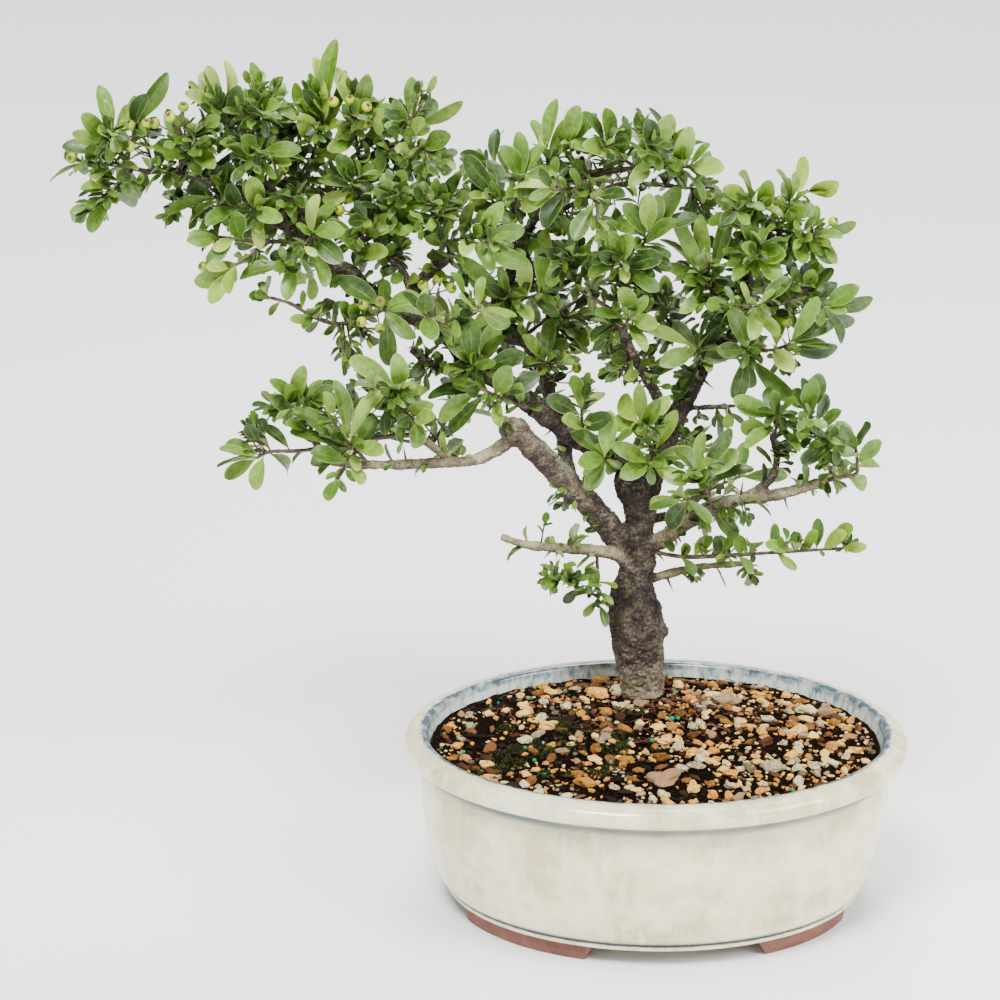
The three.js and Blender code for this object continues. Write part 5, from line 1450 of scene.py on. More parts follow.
# How pale the bark of a limb is, from the trunk's dark purple grey to the bleached dead stubs.
LIMB_TONES = {
    "right_dead_stub": 1.0, "left_dead_stub": 0.95, "lower_left_arm": 0.8, "lower_left_fork": 0.6,
    "lower_right": 0.75, "lower_right_riser": 0.5, "right_twig": 0.3, "lower_left": 0.44,
    "cut_knob": 0.1, "upper_left": 0.32, "centre": 0.36, "right_main": 0.34, "cut_stub": 0.5,
}
# The same up the trunk, as (height, tone): pale at the foot, dark at the waist, then grey.
TRUNK_TONES = [
    (105, 0.8), (126, 0.72), (136, 0.5), (158, 0.34), (169, -0.08), (184, -0.08), (200, 0.32),
    (240, 0.28), (256, 0.0),
]
OTHER_TONE = 0.38
TONE_BLEND = 2.2


def bark_tone(near, middles, height):
    """The tone of the limbs that lie nearest, each by how near its surface is."""
    gaps = {}
    for _, i, distance in near:
        _, radius, name = middles[i]
        gaps[name] = min(distance - radius, gaps.get(name, math.inf))
    least = min(gaps.values())
    whole = total = 0.0
    for name, gap in gaps.items():
        tone = LIMB_TONES.get(name, OTHER_TONE)
        if name == "trunk":
            tone = float(np.interp(height, *zip(*TRUNK_TONES)))
        share = math.exp((least - gap) / TONE_BLEND)
        whole += share * tone
        total += share
    return whole / total


def uneven_route(number, points):
    """A limb's smooth route, whose radius swells and narrows a little."""
    route = []
    for i, (at, radius) in enumerate(smooth_route(route_of(points))):
        swell = 1 + 0.7 / (3 + radius) * noise.noise(Vector((i * 0.3, number * 7.7, 0)))
        route.append((at, radius * swell))
    return route


def raise_bark(mesh, routes, relief):
    """Gives the skin its plates, ridges and grain, deeper on thick limbs, and its tones."""
    middles = [(at, radius, name) for name, route in zip(LIMBS, routes) for at, radius in route]
    tree = tree_of([at for at, _, _ in middles])
    tones = []
    for vert, normal in zip(mesh.vertices, [v.normal.copy() for v in mesh.vertices]):
        at = (vert.co - MIDDLE) / MM
        near = tree.find_n(at, 16)
        radius = middles[min(near, key=lambda found: found[2] - middles[found[1]][1])[1]][1]
        plates = noise.noise(Vector((at.x, at.y, at.z * 0.7)) * 0.13)
        ridges = 1 - 2 * abs(noise.noise(Vector((at.x, at.y, at.z * 1.6)) * 0.33))
        fine = noise.noise(at * 0.9)
        rough = relief * min(1.6, 0.35 + 0.1 * radius)
        vert.co += normal * (rough * (0.9 * plates + 0.45 * ridges + 0.35 * fine) + 0.0001)
        tones.append(bark_tone(near, middles, at.z) + 0.15 * plates)
    keep_tones(mesh, tones)


def cut_scar():
    """The healed cut on the knob's end: a rolled rim round a cracked middle."""
    inner, end = (place(*point[:3]) for point in LIMBS["cut_knob"][1:])
    turn = Vector((0, 0, 1)).rotation_difference((end - inner).normalized()).to_matrix().to_4x4()
    rim = [(0, -1.6), (2.2, -1.9), (3.8, -1.2), (5, 0.3), (6, 1.1), (7, 0.5), (7.8, -2)]
    bm = spun(rim, 40)
    for vert in bm.verts:
        vert.co += Vector((1, 1, 1)) * 1.1 * noise.noise(vert.co * 0.35)
    bmesh.ops.transform(bm, matrix=Matrix.Translation(end) @ turn, verts=bm.verts)
    return from_bmesh("cut_scar", bm)


def build_wood(settings):
    """Trunk and limbs as one skin: tubes fused by a remesh, then given the bark's relief."""
    routes = [uneven_route(number, points) for number, points in enumerate(LIMBS.values())]
    wood = tubes("wood_bark", routes, 8)
    skin = wood.modifiers.new("skin", "REMESH")
    skin.mode = "VOXEL"
    skin.voxel_size = settings.voxel
    soft = wood.modifiers.new("soft", "SMOOTH")
    soft.factor = 0.5
    soft.iterations = 3
    raise_bark(baked(wood).data, routes, settings.relief)
    finished(wood, [bark()], "firethorn_bark", ["wood"], 180)

    thorns = []
    for root, point in THORNS:
        start, end = place(*root), place(*point)
        thorns.append([(start, 1.1), (start.lerp(end, 0.4), 0.8), (end, 0.12)])
    finished(tubes("thorns", thorns, 1), [twig_bark()], "firethorn_bark", ["wood"])
    finished(cut_scar(), [cut_wood()], "firethorn_bark", ["wood"])


def point_from_end(route, way):
    """The point a given way back from the route's end, and the way the route runs there."""
    left = way
    for i in range(len(route) - 1, 0, -1):
        step = (route[i][0] - route[i - 1][0]).length
        if left <= step or i == 1:
            along = (route[i][0] - route[i - 1][0]).normalized()
            return route[i][0] - along * min(left, step), along
        left -= step


def nearest_on(routes, point):
    """The nearest point on the middle line of any of these routes."""
    best = None
    for route in routes:
        for (a, _), (b, _) in zip(route, route[1:]):
            stretch = b - a
            share = (point - a).dot(stretch) / stretch.length_squared
            spot = a + stretch * min(1.0, max(0.0, share))
            if best is None or (spot - point).length < (best - point).length:
                best = spot
    return best


def shoot_routes(shoots, wood_routes):
    """The first shoot of a spray grows from the wood, and the others from those before them."""
    routes = []
    for shoot in shoots:
        last = len(shoot.stem) - 1
        thick = STEM_TIP + STEM_SWELL * last
        route = [
            (place(*point), thick + (STEM_TIP - thick) * i / last)
            for i, point in enumerate(shoot.stem)
        ]
        route[0] = (nearest_on(routes or wood_routes, route[0][0]), route[0][1])
        routes.append(route)
    return routes


def grown_routes():
    """The routes of all limbs, and those of each spray's shoots."""
    wood_routes = [route_of(points) for points in LIMBS.values()]
    return wood_routes, {name: shoot_routes(shoots, wood_routes) for name, shoots in SPRAYS.items()}


def leaf_base(route, spread, tip, length, taken):
    """Where a leaf with that tip leaves its shoot: about a leaf's length off, pointing forward."""
    best = None
    way = 1.0
    while way <= spread:
        crowd = sum(abs(other - way) < 0.5 * BASE_STEP for other in taken)
        at, along = point_from_end(route, way)
        reach = place(tip[0], tip[1], at.y - TRUNK_Y) - at
        off = max(0.0, reach.length - length)
        forward = FORWARD_PULL * (1 - reach.normalized().dot(along))
        cost = off + forward + way * 0.15 + crowd * CROWDING
        if best is None or cost < best[0]:
            best = (cost, at, way)
        way += BASE_STEP
    return best


def upper_side(direction, wanted, turn):
    """The upper side of a leaf that points that way, as near as can be to the one wanted."""
    normal = (wanted - direction * wanted.dot(direction)).normalized()
    return Quaternion(direction, turn) @ normal


def leaf_of(at, direction, normal, length, way, keys):
    """The leaf with the measures that its draws give it."""
    breadth = min(LEAF_BREADTH, length * 0.45) * (0.86 + 0.28 * draw(*keys, 7))
    lift = 0.3 + length * (0.02 + 0.07 * draw(*keys, 8))
    return Leaf(at, direction, normal, length, breadth, lift, way, keys)


def leant_leaf(at, way, tip, length, keys, attempt):
    """The leaf from that point whose tip is seen there, leaning to or from the viewer."""
    shift = 1.5 * attempt
    across = tip[0] + shift * (draw(*keys, attempt, 2) - 0.5)
    up = tip[1] + shift * (draw(*keys, attempt, 3) - 0.5)
    back = at.y - TRUNK_Y
    flat = (place(across, up, back) - at).length
    lean = math.sqrt(max(0.0, length * length - flat * flat)) * (1 - 0.03 * attempt)
    forward = -1 if draw(*keys, attempt, 4) < 0.75 else 1
    reach = place(across, up, back + forward * lean) - at
    to_eye = (EYE - at).normalized()
    to_eye.z += 0.5
    turned = tip[2] if len(tip) > 2 else 70 * (draw(*keys, 5) - 0.5)
    turn = math.radians(turned + 6 * attempt * (draw(*keys, attempt, 6) - 0.5))
    direction = reach.normalized()
    normal = upper_side(direction, to_eye, turn)
    return leaf_of(at, direction, normal, reach.length, way, keys)


def seen_leaf(route, shoot, tip, taken, keys, attempt):
    """A leaf whose tip is given."""
    length = (LEAF_LENGTH + LEAF_LENGTH_SPREAD * draw(*keys, 1)) * shoot.size
    _, at, way = leaf_base(route, shoot.spread, tip, length, taken)
    return leant_leaf(at, way, tip, length, keys, attempt)


def turned_leaf(route, way, length, angle, keys, attempt):
    """A leaf that stands at that angle round its shoot."""
    at, along = point_from_end(route, way)
    side = Vector((0.3, 0.2, 1)).cross(along).normalized()
    side = Quaternion(along, angle) @ side
    opened = 0.75 + 0.5 * draw(*keys, attempt, 3)
    direction = (along * math.cos(opened) + side * math.sin(opened)).normalized()
    wanted = along * 0.6
    wanted.z += 0.8
    turn = 0.8 * (draw(*keys, attempt, 4) - 0.5)
    return leaf_of(at, direction, upper_side(direction, wanted, turn), length, way, keys)


def rule_leaf(route, shoot, index, keys, attempt):
    """A leaf by rule: each stands a golden turn further round the stem than the last."""
    length = LEAF_LENGTH - 2 + LEAF_LENGTH_SPREAD * draw(*keys, 1)
    length *= shoot.size * (1 - 0.02 * attempt)
    way = 1 + ((index + 0.5) / shoot.fill) * shoot.spread
    angle = GOLDEN_TURN * index + WHOLE_TURN * draw(*keys, 2) + 0.7 * attempt
    return turned_leaf(route, way, length, angle, keys, attempt)


def standing_leaf(tree, attempt_leaf):
    """The first of a leaf's tries whose end is a corner of the packed node."""
    for attempt in range(TRIES):
        leaf = attempt_leaf(attempt)
        side = leaf.direction.cross(leaf.normal)
        end = leaf.at + leaf.direction * leaf.length - side * (leaf.breadth * 0.2)
        if tree.find(end)[2] < FOUND_WITHIN:
            return leaf
    return None


def packed_leaves(name, number, shoots, routes):
    """All the leaves that the packed spray holds."""
    tree = tree_of([(vert.co - MIDDLE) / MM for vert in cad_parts[name].data.vertices])
    leaves = []
    for s, (shoot, route) in enumerate(zip(shoots, routes)):
        taken = []
        tries = [
            lambda attempt, tip=tip, i=i: seen_leaf(
                route, shoot, tip, taken, (number, s, i), attempt)
            for i, tip in enumerate(shoot.tips)
        ]
        tries += [
            lambda attempt, i=i: rule_leaf(
                route, shoot, i, (number, s, RULE_KEYS + i), attempt)
            for i in range(shoot.fill)
        ]
        for attempt_leaf in tries:
            leaf = standing_leaf(tree, attempt_leaf)
            if leaf:
                taken.append(leaf.way)
                leaves.append(leaf)
    return leaves


class Room:
    """What already stands, as points in cells, so that a new leaf can be tried against it."""

    CELL = 4.0

    def __init__(self):
        self.cells = {}

    def key(self, point):
        """The cell a point lies in."""
        return tuple(int(value // self.CELL) for value in point)

    def add(self, points):
        """Keeps these points."""
        for point in points:
            self.cells.setdefault(self.key(point), []).append(point)

    def is_clear(self, points, gap):
        """Whether no kept point lies within the gap of any of these."""
        for point in points:
            x, y, z = self.key(point)
            for dx, dy, dz in NEIGHBOURS:
                for other in self.cells.get((x + dx, y + dy, z + dz), ()):
                    if (other - point).length < gap:
                        return False
        return True


def leaf_points(leaf):
    """Points all over a leaf's blade."""
    side = leaf.direction.cross(leaf.normal)
    return [
        leaf.at + leaf.direction * (leaf.length * along) + side * (leaf.breadth * 0.42 * across)
        + leaf.normal * (leaf.lift * abs(across))
        for along in (0.35, 0.5, 0.65, 0.8, 0.95) for across in (-1, -0.4, 0.4, 1)
    ]


# A leaf's outline: the share of its length, and of half its breadth there.
LEAF_OUTLINE = [
    (0, 0), (0.04, 0.09), (0.11, 0.11), (0.2, 0.34), (0.34, 0.68), (0.5, 0.92), (0.65, 1),
    (0.79, 0.92), (0.9, 0.68), (0.97, 0.36), (1, 0),
]


def leaf_template(columns, shares):
    """A flat leaf: points as (across, along, face), its faces, and 1 for each face beneath."""
    rows = len(shares) - 1
    bm = bmesh.new()
    bmesh.ops.create_grid(bm, x_segments=columns, y_segments=rows, size=1)
    low = min(vert.co.y for vert in bm.verts)
    high = max(vert.co.y for vert in bm.verts)
    copy = bmesh.ops.duplicate(bm, geom=bm.faces[:] + bm.edges[:] + bm.verts[:])["geom"]
    under = {part for part in copy if isinstance(part, bmesh.types.BMVert)}
    for vert in bm.verts:
        row = round((vert.co.y - low) / (high - low) * rows)
        at_end = row in (0, rows)
        at_margin = at_end or abs(vert.co.x) > 0.99
        vert.co = (
            0 if at_end else vert.co.x, shares[row],
            0 if at_margin else (-1 if vert in under else 1),
        )
    bmesh.ops.remove_doubles(bm, verts=bm.verts, dist=1e-4)
    points, faces = drawn(bm)
    kinds = [int(points[face, 2].sum() < 0) for face in faces]
    return points, faces, kinds


def add_leaf(pile, template, leaf, tone):
    """The finely shaped leaf: folded along its sunk midrib, arched, with a slightly wavy margin."""
    points, faces, kinds = template
    across, along, face = points.T
    shares, halves = np.array(LEAF_OUTLINE).T
    seed = leaf.keys
    blunt = 0.9 + 0.25 * draw(*seed, 21)
    slim = 0.84 + 0.14 * draw(*seed, 27)
    half = np.interp(along, shares, halves**blunt) * slim * leaf.breadth / 2
    bell = np.sin(np.pi * along) ** 0.8
    fold = leaf.lift * bell * np.abs(across) ** 1.25
    arch = leaf.length * (0.075 * draw(*seed, 22) - 0.01) * np.sin(np.pi * along**1.2)
    droop = -leaf.length * 0.07 * draw(*seed, 23) * np.clip((along - 0.7) / 0.3, 0, 1) ** 2
    wave = 0.07 * leaf.breadth * draw(*seed, 24) * np.sin(9 * along + 6 * draw(*seed, 25) + across)
    sunk = -0.3 * (np.abs(across) < 0.1) * bell
    bulk = 0.17 * face * np.where(along < 0.15, 2.2, 1)
    height = fold + arch + droop + wave * np.abs(across) + sunk + bulk
    direction, normal = np.array(leaf.direction), np.array(leaf.normal)
    side = np.cross(direction, normal)
    bend = 0.09 * leaf.length * (draw(*seed, 26) - 0.5) * np.sin(np.pi * along)
    spots = (
        np.array(leaf.at) + np.outer(along * leaf.length, direction)
        + np.outer(across * half + bend, side) + np.outer(height, normal)
    )
    low, high = np.array(ROOM_LOW) - REACH_BEYOND, np.array(ROOM_HIGH) + REACH_BEYOND
    spots = np.clip(spots, low, high)
    chart = np.stack([across / 2 + 0.5, along], 1)
    pile.add(spots, faces, tone, chart, kinds)


def length_of(route):
    """The length of a route."""
    return sum((b[0] - a[0]).length for a, b in zip(route, route[1:]))


def clear_leaf(room, attempt_leaf, gap=LEAF_GAP, tries=9):
    """The first of a leaf's tries that stands clear, which then joins the room."""
    for attempt in range(tries):
        leaf = attempt_leaf(attempt)
        points = leaf_points(leaf)
        if inside_box(points) and room.is_clear(points, gap):
            room.add(points)
            return leaf
    return None


def best_shoot(sprays, tip, length):
    """The spray, point and way back from which a leaf with that tip grows most easily."""
    best = None
    for name, routes in sprays.items():
        for route in routes:
            end = route[-1][0]
            if (place(tip[0], tip[1], end.y - TRUNK_Y) - end).length > SHOOT_REACH:
                continue
            cost, at, way = leaf_base(route, 30, tip, length, [])
            if best is None or cost < best[0]:
                best = (cost, name, at, way)
    return best


def foot_for(tree, across, up, further):
    """A spot seen there, that much further than the nearest wood, with that wood's point."""
    gaps = [(tree.find(place(across, up, back))[2], back) for back in range(-40, 61, 10)]
    spot = place(across, up, min(gaps)[1] + further)
    foot, _, gap = tree.find(spot)
    return spot, foot.copy(), gap


def fill_pad(number, pad, tree, room):
    """The small leaves and thin twigs of one pad, which grow from the nearest shoots and limbs."""
    across, up, radius = pad
    wide = radius > WIDE_PAD
    longest = 19.0 if wide else min(22.0, 7 + 1.25 * radius)
    leaves, twigs = [], []
    for i in range(max(5, round(radius * radius / (8 if wide else 6.3)))):
        keys = (600, number, i)
        reach = radius * math.sqrt(draw(*keys, 1))
        turn = FULL_TURN * draw(*keys, 2)
        turned = 130 * (draw(*keys, 5) - 0.5)
        tip = (across + reach * math.cos(turn), up + reach * math.sin(turn), turned)
        length = longest * (0.7 + 0.5 * draw(*keys, 3))
        further = 70 * (draw(*keys, 7) - 0.45) if wide else 24 * (draw(*keys, 7) - 0.5)
        spot, foot, gap = foot_for(tree, tip[0], tip[1], further)
        if gap > TWIG_REACH:
            continue
        base = foot
        if gap > 0.9 * length:
            base = foot.lerp(spot, 1 - 0.7 * length / gap)
        leaf = clear_leaf(
            room, lambda attempt: leant_leaf(base, 0, tip, length, keys, attempt), PAD_GAP
        )
        if not leaf:
            continue
        leaves.append(leaf)
        if base is foot:
            continue
        bowed = foot.lerp(base, 0.5) + Vector((0, 0, 1.5 * (draw(*keys, 6) - 0.3)))
        twig = [(foot, 0.7), (bowed, 0.55), (base, 0.45)]
        twigs.append(twig)
        for j in range(3):
            side_keys = (600 + j, number, 40 + i)
            leaf = clear_leaf(room, lambda attempt: turned_leaf(
                twig, 1 + 2.5 * j, 0.65 * length, 2.1 * j + attempt, side_keys, attempt), PAD_GAP)
            if leaf:
                leaves.append(leaf)
    return leaves, twigs


def leaf_tone(leaf):
    """How light a leaf is: most are of one green, and a few, above all at the top, are pale."""
    tone = 0.08 + 0.56 * draw(*leaf.keys, 41)
    if draw(*leaf.keys, 42) > 0.9:
        tone += 0.3
    height = leaf.at.z + leaf.direction.z * leaf.length
    return tone + 0.7 * draw(*leaf.keys, 43) * min(1.0, max(0.0, (height - 486) / 22))


def tip_leaves(sprays, room):
    """The further leaves whose tips show, each with the spray that suits it."""
    for i, tip in enumerate(MORE_TIPS):
        keys = (500, i, 0)
        length = 17 + 8 * draw(*keys, 1)
        cost, name, at, way = best_shoot(sprays, tip, length)
        if cost > DEAREST_LEAF:
            continue
        leaf = clear_leaf(room, lambda attempt: leant_leaf(at, way, tip, length, keys, attempt))
        if leaf:
            yield name, leaf


def small_leaves(sprays, room, settings):
    """The small leaves by rule along the shoots, each with its spray."""
    tries = settings.small_leaves
    for number, (name, routes) in enumerate(sprays.items()):
        size = min(shoot.size for shoot in SPRAYS[name])
        for s, route in enumerate(routes):
            whole = length_of(route) - 3
            for i in range(tries):
                keys = (number, s, 100 + i)
                way = 0.5 + whole * ((i + draw(number, s, i, 31)) / tries)
                length = (settings.small_length + 8 * draw(*keys, 1)) * (0.6 + 0.4 * size)
                angle = FULL_TURN * draw(*keys, 2)
                leaf = clear_leaf(room, lambda attempt: turned_leaf(
                    route, way, length, angle + 1.9 * attempt, keys, attempt))
                if leaf:
                    yield name, leaf


def spur_leaves(wood_routes, room, step):
    """The small leaves that stand on short spurs all along the thin limbs."""
    for number, route in enumerate(wood_routes):
        if route[0][1] > THIN_LIMB:
            continue
        for i in range(int(length_of(route) / step)):
            way = (i + draw(number, i, 51)) * step
            for j in range(4):
                keys = (800 + number, i, j)
                length = 8 + 9 * draw(*keys, 1)
                angle = FULL_TURN * draw(number, i, 52) + 1.6 * j
                leaf = clear_leaf(room, lambda attempt: turned_leaf(
                    route, way, length, angle + 0.5 * attempt, keys, attempt))
                if leaf:
                    yield leaf


def uneven_twigs(number, routes):
    """A spray's smooth stems, whose radius swells and narrows a little."""
    return [
        [(at, radius * (0.85 + 0.3 * draw(number, s, i)))
         for i, (at, radius) in enumerate(smooth_route(route, 3))]
        for s, route in enumerate(routes)
    ]


def build_leaves(settings):
    """Each spray's leaves and twigs, the packed ones and the small ones between them."""
    large = leaf_template(4, [share for share, _ in LEAF_OUTLINE])
    small = leaf_template(2, (0, 0.11, 0.32, 0.56, 0.8, 0.95, 1))
    mature = [
        leaf_top("mature_leaf", 0x243E12, tuple(settings.mature), 0xA8C05A),
        leaf_under("mature_leaf_under", 0x58722F, 0x8EA654),
    ]
    young = [
        leaf_top("young_leaf", 0x3C6014, tuple(settings.young), 0xB2C652),
        leaf_under("young_leaf_under", 0x5E822E, 0x96AE50),
    ]
    bark_look = twig_bark()
    wood_routes, sprays = grown_routes()
    room = Room()
    for route in wood_routes:
        for at, radius in smooth_route(route, 3):
            room.add([at + Vector(corner) * radius * 0.7 for corner in CORNERS])
    leaves = {}
    for number, (name, shoots) in enumerate(SPRAYS.items()):
        leaves[name] = packed_leaves(name, number, shoots, sprays[name])
        for leaf in leaves[name]:
            room.add(leaf_points(leaf))
    for name, leaf in tip_leaves(sprays, room):
        leaves[name].append(leaf)
    for name, leaf in small_leaves(sprays, room, settings):
        leaves[name].append(leaf)
    for number, (name, found) in enumerate(leaves.items()):
        pile = Pile()
        for leaf in found:
            shape = large if leaf.length > FINE_ABOVE else small
            add_leaf(pile, shape, leaf, leaf_tone(leaf))
        slot, looks = ("young_leaf", young) if name in YOUNG else ("mature_leaf", mature)
        pile.piece(name + "_leaves", looks, slot=slot, replaces=[name], smooth_below=60)
        twigs = tubes(name + "_twigs", uneven_twigs(number, sprays[name]), 2)
        finished(twigs, [bark_look], "firethorn_bark", [name], 180)

    inner = Pile()
    inner_twigs = []
    stems = [*wood_routes, *(route for routes in sprays.values() for route in routes)]
    tree = tree_of([at for route in stems for at, _ in smooth_route(route, 2)])
    for number, pad in enumerate(PADS):
        found, twigs = fill_pad(number, pad, tree, room)
        inner_twigs += twigs
        for leaf in found:
            # Painted shade: these leaves among the others inside the crown are set a tenth lower in
            # tone.
            add_leaf(inner, small, leaf, leaf_tone(leaf) - 0.1)
    finished(tubes("inner_twigs", inner_twigs, 1), [bark_look], "firethorn_bark", (), 180)
    for leaf in spur_leaves(wood_routes, room, settings.spur_step):
        add_leaf(inner, small, leaf, leaf_tone(leaf))
    inner.piece("inner_leaves", mature, slot="mature_leaf", smooth_below=60)


def berry_template():
    """A berry of radius 1 with a dimple at its upper end."""
    points, faces = rock(3)
    for point in points:
        point[2] *= 0.93
        rim = math.hypot(point[0], point[1])
        if point[2] > 0 and rim < 0.42:
            point[2] -= 0.25 * (1 - (rim / 0.42) ** 2)
    middles = [points[face].mean(0) for face in faces]
    kinds = [int(middle[2] > 0 and math.hypot(middle[0], middle[1]) < 0.26) for middle in middles]
    return points, faces, kinds


def sepal_template():
    """The five dry sepals round the dimple, in the berry's measure."""
    bm = bmesh.new()
    for i in range(5):
        turn = Matrix.Rotation(FULL_TURN * i / 5, 4, "Z")
        lean = Matrix.Rotation(-1.15, 4, "Y")
        put = turn @ Matrix.Translation((0.3, 0, 0.88)) @ lean @ Matrix.Diagonal((0.35, 1, 1, 1))
        bmesh.ops.create_cone(
            bm, cap_ends=True, segments=5, radius1=0.2, radius2=0.03, depth=0.4, matrix=put
        )
    points, faces = drawn(bm)
    return points, faces, [1] * len(faces)


def add_berry(pile, templates, centre, axis, tone):
    """One berry with its calyx, its upper end pointing along the axis."""
    turn = Vector((0, 0, 1)).rotation_difference(axis).to_matrix()
    for points, faces, kinds in templates:
        spots = [centre + turn @ Vector(point) * BERRY_RADIUS for point in points]
        pile.add(spots, faces, tone, kinds=kinds)


def berry_axis(centre, foot):
    """The way a berry's end points: on from its stalk and a little towards the viewer."""
    return ((centre - foot).normalized() + (EYE - centre).normalized() * 0.7).normalized()


def sagging(foot, end):
    """The point halfway along a thin stalk that sags a little."""
    return foot.lerp(end, 0.5) - Vector((0, 0, 0.8))


def build_berries(settings):
    """The bunches of young berries and the single ones, on their thin stalks."""
    skins = [berry_skin(tuple(settings.green)), calyx_brown()]
    stalk_look = twig_bark()
    templates = [berry_template(), sepal_template()]
    wood_routes, sprays = grown_routes()
    routes = wood_routes + [route for shoots in sprays.values() for route in shoots]
    for index, (name, bunch) in enumerate(BUNCHES.items()):
        root = nearest_on(routes, place(*bunch.root))
        hub = place(*bunch.hub)
        stalks = [[(root, 1), (root.lerp(hub, 0.5), 0.75), (hub, 0.8)]]
        pile = Pile()
        for i, (across, up) in enumerate(bunch.berries):
            foot = root.lerp(hub, 0.94 - 0.09 * i)
            centre = place(across, up, bunch.hub[2] - 5 + 6 * draw(900 + index, i))
            axis = berry_axis(centre, foot)
            neck = centre - axis * BERRY_RADIUS * 0.85
            stalks.append([(foot, 0.6), (sagging(foot, neck), 0.42), (neck, 0.55), (centre, 0.5)])
            add_berry(pile, templates, centre, axis, 0.25 + 0.6 * draw(index, i, 5))
        pile.piece(name + "_fruit", skins, slot="green_berry", replaces=[name], smooth_below=60)
        finished(tubes(name + "_stalks", stalks, 1), [stalk_look], "firethorn_bark", [name], 180)
    pile = Pile()
    stalks = []
    for i, (across, up) in enumerate(LOOSE_BERRIES):
        spots = [place(across, up, back) for back in (-28, -18, -8, 2)]
        pairs = [(spot, nearest_on(routes, spot)) for spot in spots]
        centre, foot = min(pairs, key=lambda pair: abs((pair[0] - pair[1]).length - 9))
        if (centre - foot).length > STALK_REACH:
            continue
        stalks.append([(foot, 0.65), (sagging(foot, centre), 0.42), (centre, 0.5)])
        add_berry(pile, templates, centre, berry_axis(centre, foot), 0.2 + 0.6 * draw(77, i))
    pile.piece("single_berries", skins, slot="green_berry", smooth_below=60)
    finished(tubes("single_berry_stalks", stalks, 1), [stalk_look], "firethorn_bark", (), 180)


def build_stage(settings):
    """A pale floor, soft light from a large lamp and a pale surround, and the camera."""
    bm = bmesh.new()
    bmesh.ops.create_grid(bm, x_segments=2, y_segments=2, size=30)
    mesh = bpy.data.meshes.new("floor")
    bm.to_mesh(mesh)
    bm.free()
    floor = linked("floor", mesh)
    look = Finish("pale_floor", 0.9)
    look.shader.inputs["Specular IOR Level"].default_value = 0.1
    look.shader.inputs["Emission Color"].default_value = srgb(0xFFFFFF)
    # Painted light and shadow: the floor glows, not under and round the pot, which leaves a painted
    # shadow there, and more far off.
    away = look.oval_distance(0.78)
    near = look.span(away, 0.1, 0.15, 0, settings.floor_glow)
    far = look.span(away, 0.5, 3, 0, settings.far_glow)
    look.set("Emission Strength", look.math("ADD", near, far))
    paper = look.ramp(look.noise(400), (0.3, 0xF8F8F8), (0.7, 0xFBFBFB))
    mesh.materials.append(look.set("Base Color", paper))

    world = bpy.data.worlds.new("surround")
    world.use_nodes = True
    surround = world.node_tree.nodes["Background"].inputs
    surround["Color"].default_value = srgb(0xFFFFFF)
    surround["Strength"].default_value = settings.surround
    bpy.context.scene.world = world
    middle = MIDDLE + Vector((-0.04, 0, 0.25))
    lamps = (
        ("key_light", Vector((-0.5, -1.2, 2.0)), 0.8, settings.key),
        ("fill_light", Vector((1.4, -0.9, 1.2)), 1.2, settings.key * 0.5),
        ("rim_light", Vector((0.2, 1.2, 1.9)), 1.0, settings.key * 0.4),
    )
    for name, away, breadth, power in lamps:
        lamp = bpy.data.lights.new(name, "AREA")
        lamp.shape = "DISK"
        lamp.size = breadth
        lamp.energy = power
        thing = linked(name, lamp)
        thing.location = middle + away
        thing.rotation_euler = (-away).to_track_quat("-Z", "Y").to_euler()

    camera = bpy.data.cameras.new("camera")
    camera.sensor_width = SENSOR_WIDTH
    camera.lens = SENSOR_WIDTH * PICTURE_AWAY / PICTURE_WIDTH
    camera.clip_start = 0.01
    camera.clip_end = 50
    thing = linked("camera", camera)
    thing.location = Vector(to_row(EYE))
    thing.rotation_euler = (math.pi / 2 - GAZE_DOWN, 0, 0)
    bpy.context.scene.camera = thing


class FirethornPot(bpy.types.PropertyGroup):
    """What can be set on the pot and its screens."""

    steps: count_setting("Steps", "Faces round the pot", 160)
    worn_edge: length_setting("Worn edge", "How far the feet's edges are worn round", 0.0011)
    strands: count_setting("Strands", "Openings a side of a screen", 8)
    glaze: colour_setting("Glaze", "The cream of the glaze", 0xF4EAC6)


class FirethornSoil(bpy.types.PropertyGroup):
    """What can be set on the soil and what lies on it."""

    steps: count_setting("Steps", "Faces round the soil", 140)
    rings: count_setting("Rings", "Rings of faces on its top", 44)
    pebbles: count_setting("Pebbles", "How many pebbles", 1650)
    grains: count_setting("Grains", "How many feed grains", 46)
    chips: count_setting("Chips", "How many bark bits", 2100)
    fibres: count_setting("Fibres", "How many root fibres", 190)
    moss: count_setting("Moss", "How many moss shoots", 4200)


class FirethornWood(bpy.types.PropertyGroup):
    """What can be set on the trunk and the limbs."""

    voxel: length_setting("Voxel", "Size of the faces of the bark's skin", 0.001)
    relief: length_setting("Relief", "Depth of the bark's plates and ridges", 0.0015)


class FirethornLeaves(bpy.types.PropertyGroup):
    """What can be set on the leaves."""

    mature: colour_setting("Mature", "The green of the mature leaves", 0x5F8426)
    young: colour_setting("Young", "The green of the young leaves", 0x749826)
    small_leaves: count_setting("Small leaves", "Tries for each shoot", 6)
    small_length: amount_setting("Small length", "Millimetres of the smallest of them", 9.0)
    spur_step: amount_setting("Spur step", "Millimetres between leafy spurs on thin limbs", 24.0)


class FirethornBerries(bpy.types.PropertyGroup):
    """What can be set on the berries."""

    green: colour_setting("Green", "The green of the unripe berries", 0x849E06)


class FirethornStage(bpy.types.PropertyGroup):
    """What can be set on the light."""

    surround: amount_setting("Surround", "Light from all round", 0.6)
    floor_glow: amount_setting("Floor glow", "Light of the lit floor", 0.45)
    far_glow: amount_setting("Far glow", "More light of its far part", 0.8)
    key: amount_setting("Key", "Power of the main lamp in watts", 100.0)


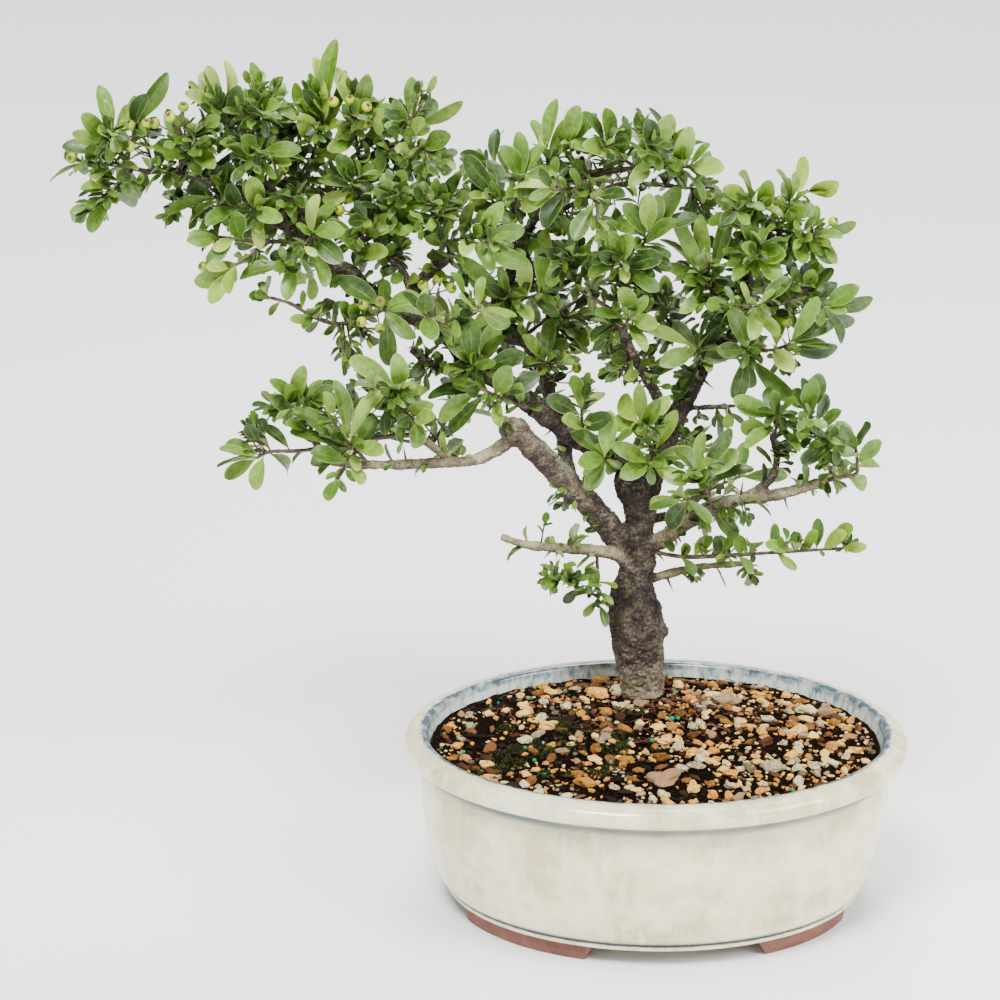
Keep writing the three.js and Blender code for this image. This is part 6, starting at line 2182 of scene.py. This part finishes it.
def operator(name, group, build):
    """An operator that builds one group of pieces from its settings."""
    def execute(self, context):
        build(getattr(context.scene, group))
        return {"FINISHED"}

    parts = {
        "__doc__": build.__doc__, "bl_idname": "firethorn." + name, "bl_label": name.capitalize(),
        "execute": execute, "bl_options": {"REGISTER", "UNDO"},
    }
    return type("FIRETHORN_OT_" + name, (bpy.types.Operator,), parts)


OPERATORS = (
    operator("pot", "firethorn_pot", build_pot),
    operator("screens", "firethorn_pot", build_screens),
    operator("soil", "firethorn_soil", build_soil),
    operator("stones", "firethorn_soil", build_stones),
    operator("fibres", "firethorn_soil", build_fibres),
    operator("moss", "firethorn_soil", build_moss),
    operator("wood", "firethorn_wood", build_wood),
    operator("leaves", "firethorn_leaves", build_leaves),
    operator("berries", "firethorn_berries", build_berries),
    operator("stage", "firethorn_stage", build_stage),
)


class FIRETHORN_PT_panel(bpy.types.Panel):
    """The settings and a button for each group of pieces."""

    bl_label = "Firethorn bonsai"
    bl_idname = "FIRETHORN_PT_panel"
    bl_space_type = "VIEW_3D"
    bl_region_type = "UI"
    bl_category = "Bonsai"

    def draw(self, context):
        """Lists them all."""
        for group in GROUPS:
            settings = getattr(context.scene, group)
            for name in settings.bl_rna.properties.keys():
                if name not in ("rna_type", "name"):
                    self.layout.prop(settings, name)
        for made in OPERATORS:
            self.layout.operator(made.bl_idname)


GROUPS = {
    "firethorn_pot": FirethornPot,
    "firethorn_soil": FirethornSoil,
    "firethorn_wood": FirethornWood,
    "firethorn_leaves": FirethornLeaves,
    "firethorn_berries": FirethornBerries,
    "firethorn_stage": FirethornStage,
}


def register():
    """Makes the settings, the operators and the panel known to Blender."""
    for name, group in GROUPS.items():
        bpy.utils.register_class(group)
        setattr(bpy.types.Scene, name, bpy.props.PointerProperty(type=group))
    for made in (*OPERATORS, FIRETHORN_PT_panel):
        bpy.utils.register_class(made)


def unregister():
    """Takes them all away again."""
    for made in (FIRETHORN_PT_panel, *OPERATORS):
        bpy.utils.unregister_class(made)
    for name, group in GROUPS.items():
        delattr(bpy.types.Scene, name)
        bpy.utils.unregister_class(group)


def main():
    """Builds everything round the packed part and writes both boxes."""
    register()
    for made in OPERATORS:
        group, name = made.bl_idname.split(".")
        getattr(getattr(bpy.ops, group), name)()


if __name__ == "__main__":
    main()
